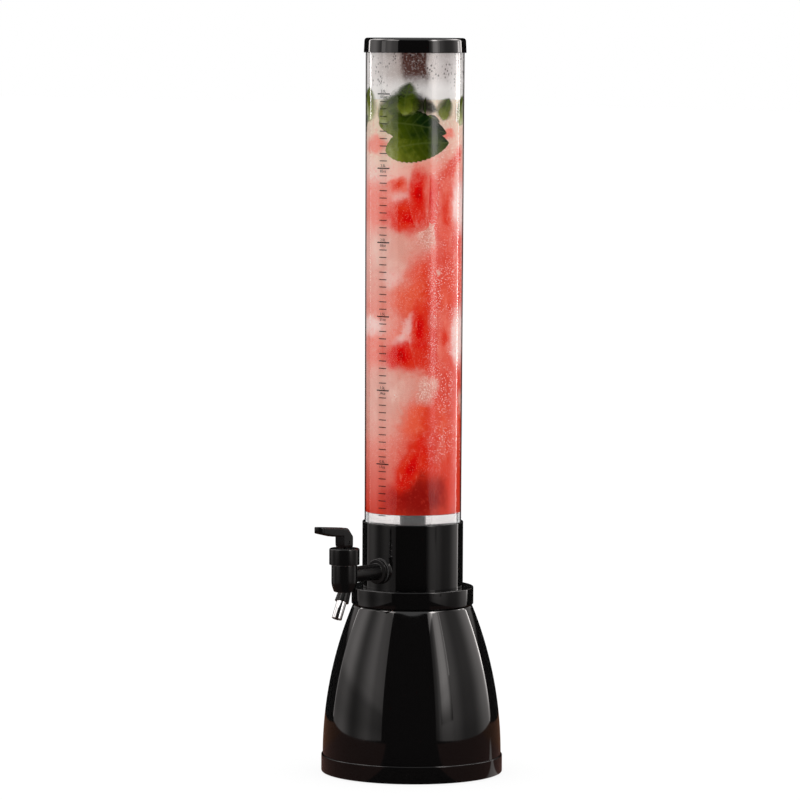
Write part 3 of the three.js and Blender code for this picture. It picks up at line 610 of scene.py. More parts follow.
def makeMistWithPaintedReflection(s):
    # Breath and drops on the inside of the tube above the drink, over a painted reflection of the dark
    # studio:
    # a dull patch in the middle of the front and grey bands beside that.
    material, tree, surface = newMaterial("mist", Roughness=0.6, SpecularIORLevel=0.1)
    place = objectPlace(tree)
    across, height = roundWall(tree, place)
    cloud = noise(tree, stretched(tree, place, (1, 1, s["cloudSqueeze"])), s["cloudScale"], 4.0, 0.6, 0.5)
    waver = times(tree, minus(tree, cloud, 0.5), s["waver"])
    share = calc(tree, "DIVIDE", plus(tree, across, waver), 2 * s["reach"])
    # Painted reflection of the dark studio, by the place round the front
    colour = colourRamp(tree, plus(tree, share, 0.5), s["byPlace"])
    # The painted reflection turns white towards the mist's foot
    lower = ease(tree, plus(tree, height, waver), *s["patchFoot"], 0.0, s["footAmount"])
    colour = blendColour(tree, lower, colour, s["white"])
    fine = ease(tree, noise(tree, place, s["fineScale"], 3.0, 0.6), *s["fineRange"], 0.0, s["fineAmount"])
    colour = blendColour(tree, fine, colour, s["white"])
    few = ease(tree, noise(tree, place, s["fewScale"], 2.0), *s["fewRange"])
    inUpper = ease(tree, height, *s["beadFoot"])
    beads = cells(tree, stretched(tree, place, (1, 1, s["beadSqueeze"])), s["beadScale"])
    bead = times(tree, ease(tree, beads, *s["beadRange"]), few, inUpper)
    # Painted glints on the mist
    glints = cells(tree, stretched(tree, place, shift=s["glintShift"]), s["glintScale"])
    glints = ease(tree, glints, *s["glintRange"])
    colour = blendColour(tree, times(tree, glints, s["glintAmount"]), colour, s["white"])
    colour = blendColour(tree, times(tree, bead, s["beadAmount"]), colour, s["bead"])
    paintWithGlow(tree, surface, colour, wallSettings["mistGlow"])
    cover = ease(tree, cloud, *s["coverRange"], s["thin"], s["thick"])
    normal = bumped(tree, beads, s["bump"], s["depth"])
    drive(tree, surface, Alpha=calc(tree, "MAXIMUM", cover, bead), Normal=normal)
    return material


def mistColour(red, green, blue):
    return throughWall(red, green, blue, mistSeen)


mistSeen = wallSettings["mistLift"] * wallSettings["mistGlow"]
blackGloss = makeMoulded("blackGloss", srgb(11, 10, 10), 0.04, 0.03, 0.00003)
blackNeck = makeMoulded("blackNeck", srgb(10, 9, 9), 0.05, 0.03, 0.00003, 0.3)
blackTap = makeMoulded("blackTap", srgb(12, 11, 11), 0.2, 0.06, 0.00004, 0.22)
clearPlastic = makeClear("clearPlastic", (1, 1, 1, 1), clearSettings)
# The clear floor's grey pink tint is painted shade of the clear band between the drink and the neck
floorPlastic = makeClear("floorPlastic", (0.78, 0.73, 0.72, 1), clearSettings)
padRubber = makeRubber(
    {
        "plain": srgb(32, 32, 33),
        "clean": srgb(28, 28, 29),
        "dusty": srgb(52, 51, 50),
        "gloss": 0.75,
        "dustScale": 160.0,
        "dustRange": (0.5, 0.75),
        "grainScale": 1800.0,
        "grainBump": 0.5,
        "grainDepth": 0.0002,
    }
)
sealSilicone = makeSilicone(
    {
        "colour": srgb(214, 216, 210),
        "gloss": 0.45,
        "soft": 0.2,
        "softReach": 0.002,
        "filmScale": 300.0,
        "filmRange": (0.4, 0.7),
        "film": (0.38, 0.55),
    }
)
chrome = makeMetal("spoutChrome", (0.86, 0.87, 0.88, 1), 0.05, 0.06)
steel = makeMetal("zincSteel", (0.6, 0.61, 0.62, 1), 0.28, 0.15)
blackSteel = makeMetal("blackSteel", (0.03, 0.03, 0.03, 1), 0.35, 0.15)
scaleInk = makeInk(
    {
        "gloss": 0.6,
        "shine": 0.2,
        "wearScale": 900.0,
        "wearRange": (0.45, 0.8),
        "fresh": srgb(8, 6, 6),
        "worn": srgb(34, 26, 25),
    }
)
fruitDrink = makeDrink({"gloss": 0.5, "bump": 0.3, "depth": 0.0006})
melonFlesh = makeMelon(
    {
        "byTone": wallStops((0.0, 228, 112, 96), (0.35, 214, 62, 48), (0.65, 207, 30, 19), (1.0, 118, 9, 6)),
        "fibre": throughWall(239, 146, 128),
        "fibreScale": 170.0,
        "fibreSqueeze": 0.35,
        "fibreRange": (0.56, 0.72),
        "pulpScale": 60.0,
        "pulp": 0.7,
        "paleRange": (0.75, 0.4),
        "paleAmount": 0.35,
        "sparkleScale": 520.0,
        "sparkleRange": (0.3, 0.14),
        "bump": 0.4,
        "depth": 0.0006,
        "heartRange": (0.5, 0.95),
        "heart": 0.2,
        "reach": 0.34,
        "soft": 0.4,
    }
)
cloudyIce = makeIce(
    {
        "body": throughWall(214, 150, 136),
        "light": throughWall(228, 180, 166),
        "sparkle": throughWall(250, 228, 219),
        "hollow": throughWall(204, 120, 106),
        "veinScale": 48.0,
        "veinSqueeze": 0.6,
        "veinRange": (0.4, 0.7),
        "crystalScale": 640.0,
        "crustScale": 52.0,
        "crustByTone": 0.3,
        "crustRange": (0.6, 0.72),
        "leastCrust": 0.05,
        "sparkleRange": (0.4, 0.2),
        "sparkleAmount": 0.8,
        "hollowRange": (0.5, 0.75),
        "hollowAmount": 0.6,
        "bump": 0.3,
        "depth": 0.0004,
        "reach": 0.34,
        "soft": 0.44,
    }
)
mintLeaf = makeLeafMaterial(
    {
        "byTone": wallStops(
            (0.0, 26, 38, 28),
            (0.2, 42, 50, 10),
            (0.45, 66, 76, 6),
            (0.7, 106, 114, 52),
            (0.85, 142, 150, 96),
            (1.0, 176, 184, 140),
        ),
        "vein": throughWall(150, 164, 96),
        "veinAmount": 0.09,
        "patchScale": 90.0,
        "patch": 0.5,
        "patchInFade": 0.7,
        "hazeInFade": 0.6,
        "lostBelow": -0.3,
        "hazeReach": 0.7,
        "rimReach": 0.05,
        "hazeLoss": 0.2,
        "crispBelow": 0.05,
        "grainScale": 600.0,
        "grain": 0.3,
        "bump": 0.5,
        "depth": 0.0004,
    }
)
mist = makeMistWithPaintedReflection(
    {
        # White mist with a painted reflection of the dark studio, from the far left of the front to its far
        # right, as shares of twice the reach
        "byPlace": wallStops(
            (0.0, 246, 242, 240),
            (0.08, 240, 236, 233),
            (0.2, 206, 198, 195),
            (0.3, 182, 172, 168),
            (0.393, 172, 158, 153),
            (0.43, 84, 61, 57),
            (0.58, 80, 58, 54),
            (0.612, 208, 198, 194),
            (0.68, 208, 199, 196),
            (0.75, 184, 175, 173),
            (0.84, 226, 221, 219),
            (1.0, 246, 242, 240),
            glow=mistSeen,
        ),
        "reach": 0.07,
        "waver": 0.012,
        "patchFoot": (0.714, 0.696),
        "footAmount": 0.75,
        "white": mistColour(247, 244, 242),
        "bead": mistColour(50, 40, 39),
        "cloudScale": 60.0,
        "cloudSqueeze": 0.5,
        "coverRange": (0.3, 0.75),
        "fineScale": 420.0,
        "fineRange": (0.5, 0.75),
        "fineAmount": 0.3,
        "fewScale": 60.0,
        "fewRange": (0.4, 0.56),
        "beadScale": 350.0,
        "beadSqueeze": 0.75,
        "beadRange": (0.36, 0.22),
        "beadFoot": (0.692, 0.708),
        "beadAmount": 0.75,
        "glintScale": 430.0,
        "glintShift": (0.3, 0, 0),
        "glintRange": (0.3, 0.16),
        "glintAmount": 0.15,
        "bump": 0.3,
        "depth": 0.0004,
        "thin": 0.86,
        "thick": 0.97,
    }
)
print("materials ready")


# Surfaces on grids


def gridFaces(rows, columns, closeRows=False, closeColumns=False):
    # Quads of a grid of points, row by row; a closed direction joins its last line to its first
    i = np.arange(rows if closeRows else rows - 1)[:, None]
    j = np.arange(columns if closeColumns else columns - 1)[None, :]
    below, right = (i + 1) % rows, (j + 1) % columns
    quads = [i * columns + j, i * columns + right, below * columns + right, below * columns + j]
    return np.stack([q + 0 * (i + j) for q in quads], axis=-1).reshape(-1, 4)


def addPiece(name, points, faces, material, smoothDegrees=38, attributes=None):
    mesh = bpy.data.meshes.new(name)
    mesh.from_pydata(points.reshape(-1, 3).tolist(), [], faces.tolist())
    for label, values in (attributes or {}).items():
        layer = mesh.attributes.new(label, "FLOAT", "POINT")
        layer.data.foreach_set("value", values.ravel().astype(np.float32))
    work = bmesh.new()
    work.from_mesh(mesh)
    bmesh.ops.remove_doubles(work, verts=work.verts, dist=1e-6)
    bmesh.ops.dissolve_degenerate(work, edges=work.edges, dist=1e-7)
    bmesh.ops.recalc_face_normals(work, faces=work.faces)
    work.to_mesh(mesh)
    work.free()
    return finishMesh(bpy.data.objects.new(name, mesh), material, smoothDegrees)


def finishMesh(piece, material, smoothDegrees=38):
    piece.data.materials.clear()
    piece.data.materials.append(material)
    piece.data.shade_smooth()
    piece.data.set_sharp_from_angle(angle=math.radians(smoothDegrees))
    if piece.name not in bpy.context.collection.objects:
        bpy.context.collection.objects.link(piece)
    return piece


def roundedOutline(corners, steps=5):
    # Corners are rows of radius, height and rounding. A rounded corner becomes a parabola that starts
    # and ends that far from it along its two sides: (1 - t)^2 start + 2 t (1 - t) corner + t^2 end.
    # A corner with no rounding stays one point.
    rows = np.array(corners, dtype=float)
    point, rounding = rows[:, :2], rows[:, 2]
    before, after = np.roll(point, 1, axis=0) - point, np.roll(point, -1, axis=0) - point
    start = point + before * (rounding / np.linalg.norm(before, axis=1))[:, None]
    end = point + after * (rounding / np.linalg.norm(after, axis=1))[:, None]
    t = np.linspace(0, 1, steps + 1)[None, :, None]
    curve = (1 - t) ** 2 * start[:, None] + 2 * t * (1 - t) * point[:, None] + t**2 * end[:, None]
    keep = (rounding[:, None] > 0) | (np.arange(steps + 1)[None, :] == 0)
    return curve[keep]


def carried(points, place):
    # Points moved by a matrix, or left as they are
    if place is None:
        return points
    turn = np.array(place)
    return points @ turn[:3, :3].T + turn[:3, 3]


def turnedPiece(name, outline, material, sides=192, closed=True, place=None, steps=5):
    # A solid of revolution from a closed outline, or from one that starts and ends on the axis. A list holds
    # corners to round. Each point of the outline goes round the Z axis: x = r cos a, y = r sin a
    if isinstance(outline, list):
        outline = roundedOutline(outline, steps)
    angle = np.linspace(0, 2 * math.pi, sides, endpoint=False)[None, :]
    r, z = outline[:, :1], outline[:, 1:]
    points = np.stack([r * np.cos(angle), r * np.sin(angle), z + 0 * angle], axis=-1)
    faces = gridFaces(len(outline), sides, closeRows=closed, closeColumns=True)
    return addPiece(name, carried(points, place), faces, material)


def boxPiece(name, low, high, material, place=None):
    corners = np.stack(np.meshgrid(*zip(low, high), indexing="ij"), axis=-1).reshape(-1, 3)
    faces = np.array([[0, 1, 3, 2], [4, 6, 7, 5], [0, 4, 5, 1], [2, 3, 7, 6], [0, 2, 6, 4], [1, 5, 7, 3]])
    return addPiece(name, carried(corners, place), faces, material)


def plainRod(radius, low, high, edge=0):
    # The outline of a rod about the axis
    return [(0, low, 0), (radius, low, edge), (radius, high, edge), (0, high, 0)]


def shaped(piece, tools, operation):
    # Joins the tools to the piece or cuts them out of it, and deletes them
    material = piece.data.materials[0]
    for tool in tools:
        change = piece.modifiers.new("change", "BOOLEAN")
        change.operation = operation
        change.solver = "EXACT"
        change.object = tool
    made = bpy.data.meshes.new_from_object(piece.evaluated_get(bpy.context.evaluated_depsgraph_get()))
    piece.modifiers.clear()
    piece.data = made
    for tool in tools:
        bpy.data.objects.remove(tool)
    return finishMesh(piece, material)


def roundSpan(node):
    # Radius, lowest and highest height of a round node on the tank's axis
    low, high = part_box(node)
    return (high.x - low.x) / 2, low.z, high.z


def settle(piece, body, slot, *nodes):
    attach(piece, body)
    if nodes:
        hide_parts(*nodes)
    return piece


def dress(material, *nodes):
    # A CAD node that keeps its shape gets its finish
    for node in nodes:
        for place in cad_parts[node].material_slots:
            place.material = material


# Base: cover, pad, screws and bell

baseSettings = {
    "ledge": 0.0014,
    "footHeight": 0.0183,
    "footEdge": 0.0016,
    "padRadius": 0.076,
    "padThickness": 0.002,
    "grooves": np.linspace(0.02, 0.07, 11),
    "grooveHalf": 0.0006,
    "grooveFloor": 0.0003,
    "grooveDepth": 0.0004,
    "coverFloor": 0.003,
    "seatRadius": 0.0789,
    "seatHeight": 0.008,
    "fit": 0.0003,
    "bellWall": 0.003,
    "bellArcPoints": 72,
    "bellTopIn": 0.00195,
    "bellTopEdge": 0.0012,
    "deckThickness": 0.003,
    "spigotRadius": 0.0589,
    "spigotBore": 0.0559,
    "deckBore": 0.0479,
    "bossRadius": 0.005,
    "bossHeight": 0.025,
    "pilotRadius": 0.0018,
    "pilotDepth": 0.013,
    "screwCircle": 0.0845,
    "screwHead": 0.003,
    "screwHeadHeight": 0.0019,
    "screwRecess": 0.0033,
    "recessTop": 0.0028,
    "screwThread": 0.0015,
    "crossArm": 0.0017,
    "crossHalf": 0.0003,
    "crossDepth": 0.0011,
    "cut": 0.002,
}


def screwPlaces(s):
    far = s["screwCircle"]
    turns = (np.arange(4) + 0.5) * math.pi / 2
    return [Matrix.Translation((far * math.cos(turn), far * math.sin(turn), 0)) for turn in turns]


def makeBaseCover(s):
    radius, low = roundSpan("base_cover")[:2]
    padTop = s["padThickness"] + s["fit"]
    padWall = s["padRadius"] + s["fit"]
    seatWall = radius - s["ledge"] + s["fit"]
    outline = [
        (0, padTop, 0),
        (padWall, padTop, 0.0003),
        (padWall, low, 0.0004),
        (radius, low, s["footEdge"]),
        (radius, s["footHeight"], 0.0007),
        (seatWall, s["footHeight"], 0.0005),
        (seatWall, s["seatHeight"], 0),
        (s["seatRadius"], s["seatHeight"], 0),
        (s["seatRadius"], padTop + s["coverFloor"], 0),
        (0, padTop + s["coverFloor"], 0),
    ]
    cover = turnedPiece("baseCover", outline, blackGloss, closed=False)
    recess = plainRod(s["screwRecess"], low - s["cut"], s["recessTop"])
    holes = [turnedPiece("hole", recess, blackGloss, 32, False, place) for place in screwPlaces(s)]
    return settle(shaped(cover, holes, "DIFFERENCE"), "base", "black_gloss", "base_cover")


def makePad(s):
    radius, low, high = roundSpan("anti_slip_pad")
    half, floor, depth = s["grooveHalf"], s["grooveFloor"], s["grooveDepth"]
    groove = ((-half, 0), (-floor, depth), (floor, depth), (half, 0))
    grooves = [(at + side, low + rise, 0) for at in s["grooves"] for side, rise in groove]
    outline = [(0, low, 0), *grooves, (radius, low, 0.0005), (radius, high, 0.0003), (0, high, 0)]
    pad = turnedPiece("antiSlipPad", outline, padRubber, closed=False)
    return settle(pad, "base", "pad_rubber", "anti_slip_pad")


def makeScrews(s):
    for number, place in enumerate(screwPlaces(s), start=1):
        low, high = [corner.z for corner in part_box(f"base_screw_{number}")]
        headTop = low + s["screwHeadHeight"]
        outline = [
            (0, low, 0),
            (s["screwHead"], low, 0.0006),
            (s["screwHead"], headTop, 0),
            (s["screwThread"], headTop, 0),
            (s["screwThread"], high, 0.0004),
            (0, high, 0),
        ]
        screw = turnedPiece(f"baseScrew{number}", outline, steel, 32, False, place)
        arms = [(s["crossArm"], s["crossHalf"]), (s["crossHalf"], s["crossArm"])]
        crossFoot, crossTop = low - s["cut"] / 2, low + s["crossDepth"]
        cross = [boxPiece("cross", (-a, -b, crossFoot), (a, b, crossTop), steel, place) for a, b in arms]
        settle(shaped(screw, cross, "DIFFERENCE"), "base", "screw_steel", f"base_screw_{number}")


def bellRadius(z, s, footRadius, topRadius, topHeight):
    # An arc that stands upright on the foot: r = foot - (R - sqrt(R^2 - rise^2))
    fall = footRadius - topRadius
    height = topHeight - s["footHeight"]
    arc = (fall**2 + height**2) / (2 * fall)
    return footRadius - (arc - np.sqrt(arc**2 - (z - s["footHeight"]) ** 2))


def makeBell(s):
    footRadius, low, spigotTop = roundSpan("bell_base")
    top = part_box("locking_collar")[0].z - s["fit"]
    topRadius = roundSpan("locking_collar")[0] - s["bellTopIn"]
    deck = top - s["deckThickness"]
    z = np.linspace(s["footHeight"], top - s["bellTopEdge"], s["bellArcPoints"])
    zIn = np.linspace(deck, s["footHeight"], s["bellArcPoints"] // 2)
    outside = np.stack([bellRadius(z, s, footRadius, topRadius, top), z], axis=-1)
    inside = np.stack([bellRadius(zIn, s, footRadius, topRadius, top) - s["bellWall"], zIn], axis=-1)
    rim = roundedOutline(
        [
            (topRadius, top, 0.0009),
            (s["spigotRadius"], top, 0),
            (s["spigotRadius"], spigotTop, 0.0005),
            (s["spigotBore"], spigotTop, 0.0005),
            (s["spigotBore"], top, 0),
            (s["deckBore"], top, 0.0004),
            (s["deckBore"], deck, 0.0004),
        ]
    )
    foot = np.array([(footRadius - s["bellWall"], low), (footRadius, low)])
    bell = turnedPiece("bellBase", np.concatenate([outside, rim, inside, foot]), blackGloss, 256)
    bossTop, bossRadius = low + s["bossHeight"], s["bossRadius"]
    boss = [(0, low, 0), (bossRadius, low, 0.0004), (bossRadius, bossTop, 0.0006), (0, bossTop, 0)]
    pilot = plainRod(s["pilotRadius"], low - s["cut"], low + s["pilotDepth"])
    places = screwPlaces(s)
    bosses = [turnedPiece("boss", boss, blackGloss, 32, False, place) for place in places]
    pilots = [turnedPiece("pilot", pilot, blackGloss, 24, False, place) for place in places]
    shaped(shaped(bell, bosses, "UNION"), pilots, "DIFFERENCE")
    return settle(bell, "base", "black_gloss", "bell_base")


makeBaseCover(baseSettings)
makePad(baseSettings)
makeScrews(baseSettings)
makeBell(baseSettings)
print("base ready")


# Collar, neck, tube, tank floor and lid

neckSettings = {
    "collarWall": 0.003,
    "collarPlate": 0.0031,
    "collarEdge": 0.0014,
    "radius": 0.05135,
    "wall": 0.0035,
    "edge": 0.0011,
    "fit": 0.0003,
    "flangeThickness": 0.004,
    "sleeveWall": 0.003,
    "sleeveRadius": 0.0556,
    "ledge": 0.0017,
    "ledgeThickness": 0.003,
    "socketDepth": 0.0135,
    "tubeFoot": 0.04915,
    "tubeWall": 0.00295,
    "gasketSpace": 0.0031,
    "floorThickness": 0.003,
    "wallRings": 48,
    "wallFoot": 0.0005,
    "wallTop": 0.002,
    "bossRadius": 0.0132,
    "bossStandOut": 0.00085,
    "bossEdge": 0.0008,
    "bossRoot": 0.0482,
    "bossFlare": 0.0013,
    "shankHole": 0.00845,
    "holeFrom": 0.03,
    "holeTo": 0.06,
}


def makeCollar(s):
    radius, low, high = roundSpan("locking_collar")
    bore = radius - s["collarWall"]
    plate = high - s["collarPlate"]
    outline = [
        (bore, low, 0.0003),
        (radius, low, 0.0005),
        (radius, high, s["collarEdge"]),
        (s["radius"] + s["fit"], high, 0.0004),
        (s["radius"] + s["fit"], plate, 0.0003),
        (bore, plate, 0.0003),
    ]
    collar = turnedPiece("lockingCollar", outline, blackNeck, 256)
    return settle(collar, "collar", "black_gloss", "locking_collar")


def towardsTap(height):
    # Stands a shape made about Z so that its up is the way out to the tap, at that height
    return Matrix.Translation((0, 0, height)) @ Matrix.Rotation(math.pi / 2, 4, "X")


def makeNeck(s, tapHeight):
    flangeRadius, low, high = roundSpan("neck_housing")
    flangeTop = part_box("locking_collar")[1].z - s["collarPlate"] - s["fit"]
    flangeFoot = flangeTop - s["flangeThickness"]
    sleeveBore = s["sleeveRadius"] - s["sleeveWall"]
    chamberRadius = s["radius"] - s["wall"]
    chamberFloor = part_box("drink")[0].z - s["fit"]
    ledgeTop = high - s["socketDepth"] - s["gasketSpace"]
    bore = s["tubeFoot"] + s["fit"]
    ledgeRadius = bore - s["fit"] - s["tubeWall"] - s["ledge"]
    wall = flangeTop + s["wallFoot"], high - s["wallTop"]
    outline = [
        (0, chamberFloor - s["floorThickness"], 0),
        (chamberRadius, chamberFloor - s["floorThickness"], 0),
        (chamberRadius, flangeFoot, 0.0003),
        (sleeveBore, flangeFoot, 0),
        (sleeveBore, low, 0.0003),
        (s["sleeveRadius"], low, 0.0005),
        (s["sleeveRadius"], flangeFoot, 0),
        (flangeRadius, flangeFoot, 0.0003),
        (flangeRadius, flangeTop, 0.0003),
        (s["radius"], flangeTop, 0),
        *[(s["radius"], z, 0) for z in np.linspace(*wall, s["wallRings"])],
        (s["radius"], high, s["edge"]),
        (bore, high, 0.0004),
        (bore, ledgeTop, 0),
        (ledgeRadius, ledgeTop, 0.0003),
        (ledgeRadius, ledgeTop - s["ledgeThickness"], 0.0003),
        (chamberRadius, ledgeTop - s["ledgeThickness"], 0),
        (chamberRadius, chamberFloor, 0),
        (0, chamberFloor, 0),
    ]
    neck = turnedPiece("neckHousing", outline, blackNeck, 256, False)
    face = s["radius"] + s["bossStandOut"]
    boss = [
        (0, s["bossRoot"], 0),
        (s["bossRadius"] + s["bossFlare"], s["bossRoot"], 0),
        (s["bossRadius"], s["radius"] - s["fit"], 0),
        (s["bossRadius"], face, s["bossEdge"]),
        (0, face, 0),
    ]
    hole = plainRod(s["shankHole"], s["holeFrom"], s["holeTo"])
    place = towardsTap(tapHeight)
    shaped(neck, [turnedPiece("boss", boss, blackNeck, 96, False, place)], "UNION")
    shaped(neck, [turnedPiece("hole", hole, blackNeck, 64, False, place)], "DIFFERENCE")
    return settle(neck, "tank", "black_gloss", "neck_housing")


tubeSettings = {
    "wall": 0.00385,
    "draft": 0.0009,
    "edge": 0.0006,
    "floorSkirt": 0.003,
    "floorPlate": 0.009,
    "drain": 0.0133,
    "mistFoot": 0.6862,
    "mistTop": 0.7435,
    "mistThickness": 0.00006,
}


def makeTube(s):
    radius, low, high = roundSpan("tank_tube")
    bore = radius - s["wall"]
    tube = [
        (bore, low, 0.0003),
        (radius - s["draft"], low, 0.0003),
        (radius, high, s["edge"]),
        (bore, high, 0.0004),
    ]
    settle(turnedPiece("tankTube", tube, clearPlastic, 256), "tank", "clear_plastic", "tank_tube")
    floorRadius, floorLow, floorHigh = roundSpan("tank_floor")
    underPlate = floorHigh - s["floorPlate"]
    floor = [
        (s["drain"], underPlate, 0.0003),
        (floorRadius - s["floorSkirt"], underPlate, 0.0003),
        (floorRadius - s["floorSkirt"], floorLow, 0.0003),
        (floorRadius, floorLow, 0.0003),
        (floorRadius, floorHigh, 0.0004),
        (s["drain"], floorHigh, 0.0004),
    ]
    settle(turnedPiece("tankFloor", floor, floorPlastic, 192), "tank", "clear_plastic", "tank_floor")
    inner, outer = bore - s["mistThickness"] / 2, bore + s["mistThickness"] / 2
    foot, top = s["mistFoot"], s["mistTop"]
    film = [(inner, foot, 0), (outer, foot, 0), (outer, top, 0), (inner, top, 0)]
    # The mist film also carries the painted reflection of the dark studio
    settle(turnedPiece("tubeMist", film, mist, 192), "tank", "clear_plastic")


lidSettings = {
    "wall": 0.00165,
    "height": 0.015,
    "plate": 0.0037,
    "edge": 0.0034,
    "taper": 0.0007,
    "plugWall": 0.0025,
    "plugGap": 0.0006,
    "grooveGap": 0.0003,
    "grooveDepth": 0.0012,
}


def makeLid(s, tube):
    radius, low, high = roundSpan("lid")
    under = high - s["plate"]
    skirtFoot = high - s["height"]
    plugOuter = roundSpan("tank_tube")[0] - tube["wall"] - s["plugGap"]
    plugInner = plugOuter - s["plugWall"]
    sealRadius, sealLow, sealHigh = roundSpan("lid_seal")
    grooveLow, grooveHigh = sealLow - s["grooveGap"], sealHigh + s["grooveGap"]
    grooveFloor = plugOuter - s["grooveDepth"]
    sealBore = grooveFloor + s["grooveGap"]
    outline = [
        (0, under, 0),
        (plugInner, under, 0.0003),
        (plugInner, low, 0.0004),
        (plugOuter, low, 0.0008),
        (plugOuter, grooveLow, 0),
        (grooveFloor, grooveLow, 0),
        (grooveFloor, grooveHigh, 0),
        (plugOuter, grooveHigh, 0),
        (plugOuter, under, 0),
        (radius - s["wall"], under, 0),
        (radius - s["wall"], skirtFoot, 0.0003),
        (radius, skirtFoot, 0.0006),
        (radius - s["taper"], high, s["edge"]),
        (0, high, 0),
    ]
    settle(turnedPiece("lid", outline, blackGloss, 256, False, steps=10), "lid", "black_gloss", "lid")
    ring = [
        (sealBore, sealLow, 0.0004),
        (sealRadius, sealLow, 0.0009),
        (sealRadius, sealHigh, 0.0009),
        (sealBore, sealHigh, 0.0004),
    ]
    settle(turnedPiece("lidSeal", ring, sealSilicone, 192), "lid", "seal_silicone", "lid_seal")


tapReach = -(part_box("tap_bonnet")[0].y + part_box("tap_bonnet")[1].y) / 2
tapHeight = (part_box("shank_nut")[0].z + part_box("shank_nut")[1].z) / 2
makeCollar(neckSettings)
makeNeck(neckSettings, tapHeight)
makeTube(tubeSettings)
makeLid(lidSettings, tubeSettings)
print("tank ready")


# Tap: body, washers, bonnet, lever and spout

tapSettings = {
    "shank": 0.00815,
    "flange": 0.0126,
    "flangeThickness": 0.0032,
    "flangeFace": 0.0548,
    "barrel": 0.013,
    "barrelTop": 0.0113,
    "barrelBottom": 0.016,
    "barrelTaper": 0.0075,
    "barrelFootIn": 0.0026,
    "threadIn": 0.0016,
    "threadHeight": 0.0125,
    "spoutTilt": 25,
    "spoutDrop": 0.0231,
    "spoutAside": 0.0026,
    "stemLift": 0.0019,
    "socket": 0.00725,
    "socketTop": 0.006,
    "socketBelow": 0.0033,
    "socketAbove": 0.012,
    "tip": 0.00515,
    "tipBore": 0.00415,
    "boreSkin": 0.0001,
    "mouth": 0.0005,
    "tipShown": 0.018,
    "tipHeld": 0.006,
    "fit": 0.0003,
    "bonnetEdge": 0.0018,
    "bonnetBore": 0.0118,
    "bonnetPlate": 0.0035,
    "stemHole": 0.00245,
}


def spoutPlace(s):
    drop = Matrix.Translation((0, -tapReach - s["spoutAside"], tapHeight - s["spoutDrop"]))
    return drop @ Matrix.Rotation(-math.radians(s["spoutTilt"]), 4, "X")


def makeTapBody(s):
    threadTop = s["barrelTop"] + s["threadHeight"]
    barrel = [
        (0, -s["barrelBottom"], 0),
        (s["barrel"] - s["barrelFootIn"], -s["barrelBottom"], 0.0012),
        (s["barrel"], s["barrelTaper"] - s["barrelBottom"], 0.0035),
        (s["barrel"], s["barrelTop"], 0.0005),
        (s["barrel"] - s["threadIn"], s["barrelTop"], 0),
        (s["barrel"] - s["threadIn"], threadTop, 0.0004),
        (0, threadTop, 0),
    ]
    inner, outer = -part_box("tap_body")[1].y, tapReach - s["barrel"] / 2
    flangeEnd = s["flangeFace"] + s["flangeThickness"]
    shank = [
        (0, inner, 0),
        (s["shank"], inner, 0.0004),
        (s["shank"], s["flangeFace"], 0),
        (s["flange"], s["flangeFace"], 0.0004),
        (s["flange"], flangeEnd, 0.0012),
        (s["shank"], flangeEnd, 0.0009),
        (s["shank"], outer, 0),
        (0, outer, 0),
    ]
    tipSpace = s["tip"] + s["fit"]
    socket = [
        (tipSpace, -s["socketBelow"], 0.0002),
        (s["socket"], -s["socketBelow"], 0.0006),
        (s["socketTop"], s["socketAbove"], 0),
        (0, s["socketAbove"], 0),
        (0, s["tipHeld"], 0),
        (tipSpace, s["tipHeld"], 0),
    ]
    centre = Matrix.Translation((0, -tapReach, tapHeight))
    body = turnedPiece("tapBody", barrel, blackTap, 128, False, centre)
    tools = [
        turnedPiece("shank", shank, blackTap, 96, False, towardsTap(tapHeight)),
        turnedPiece("socket", socket, blackTap, 96, True, spoutPlace(s)),
    ]
    return settle(shaped(body, tools, "UNION"), "tank", "black_tap", "tap_body")


def makeTip(s):
    foot = -s["socketBelow"] - s["tipShown"]
    top = s["tipHeld"] - s["socketBelow"]
    outline = [
        (s["tipBore"], foot, 0.0004),
        (s["tip"], foot, 0.0005),
        (s["tip"], top, 0.0003),
        (s["tipBore"], top, 0.0003),
    ]
    tip = turnedPiece("spoutTip", outline, chrome, 96, True, spoutPlace(s))
    tip.data.materials.append(blackTap)  # the bore is plastic
    middles = np.empty(3 * len(tip.data.polygons))
    tip.data.polygons.foreach_get("center", middles)
    x, y, z = carried(middles.reshape(-1, 3), spoutPlace(s).inverted()).T
    inBore = (np.hypot(x, y) < s["tipBore"] + s["boreSkin"]) & (z > foot + s["mouth"])
    tip.data.polygons.foreach_set("material_index", inBore.astype(np.int32))
    return settle(tip, "tank", "spout_chrome", "spout_tip")


def makeWasher(name, node):
    low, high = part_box(node)
    radius, near, far = (high.x - low.x) / 2, -high.y, -low.y
    bore = tapSettings["shank"] + tapSettings["fit"]
    outline = [(bore, near, 0.0002), (radius, near, 0.0005), (radius, far, 0.0005), (bore, far, 0.0002)]
    washer = turnedPiece(name, outline, padRubber, 96, True, towardsTap(tapHeight))
    return settle(washer, "tank", "pad_rubber", node)


def makeBonnet(s):
    low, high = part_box("tap_bonnet")
    radius, under = (high.x - low.x) / 2, high.z - s["bonnetPlate"]
    outline = [
        (s["bonnetBore"], low.z, 0.0002),
        (radius, low.z, 0.0006),
        (radius, high.z, s["bonnetEdge"]),
        (s["stemHole"], high.z, 0.0003),
        (s["stemHole"], under, 0),
        (s["bonnetBore"], under, 0),
    ]
    bonnet = turnedPiece("tapBonnet", outline, blackTap, 128, True, Matrix.Translation((0, -tapReach, 0)))
    return settle(bonnet, "tank", "black_tap", "tap_bonnet")


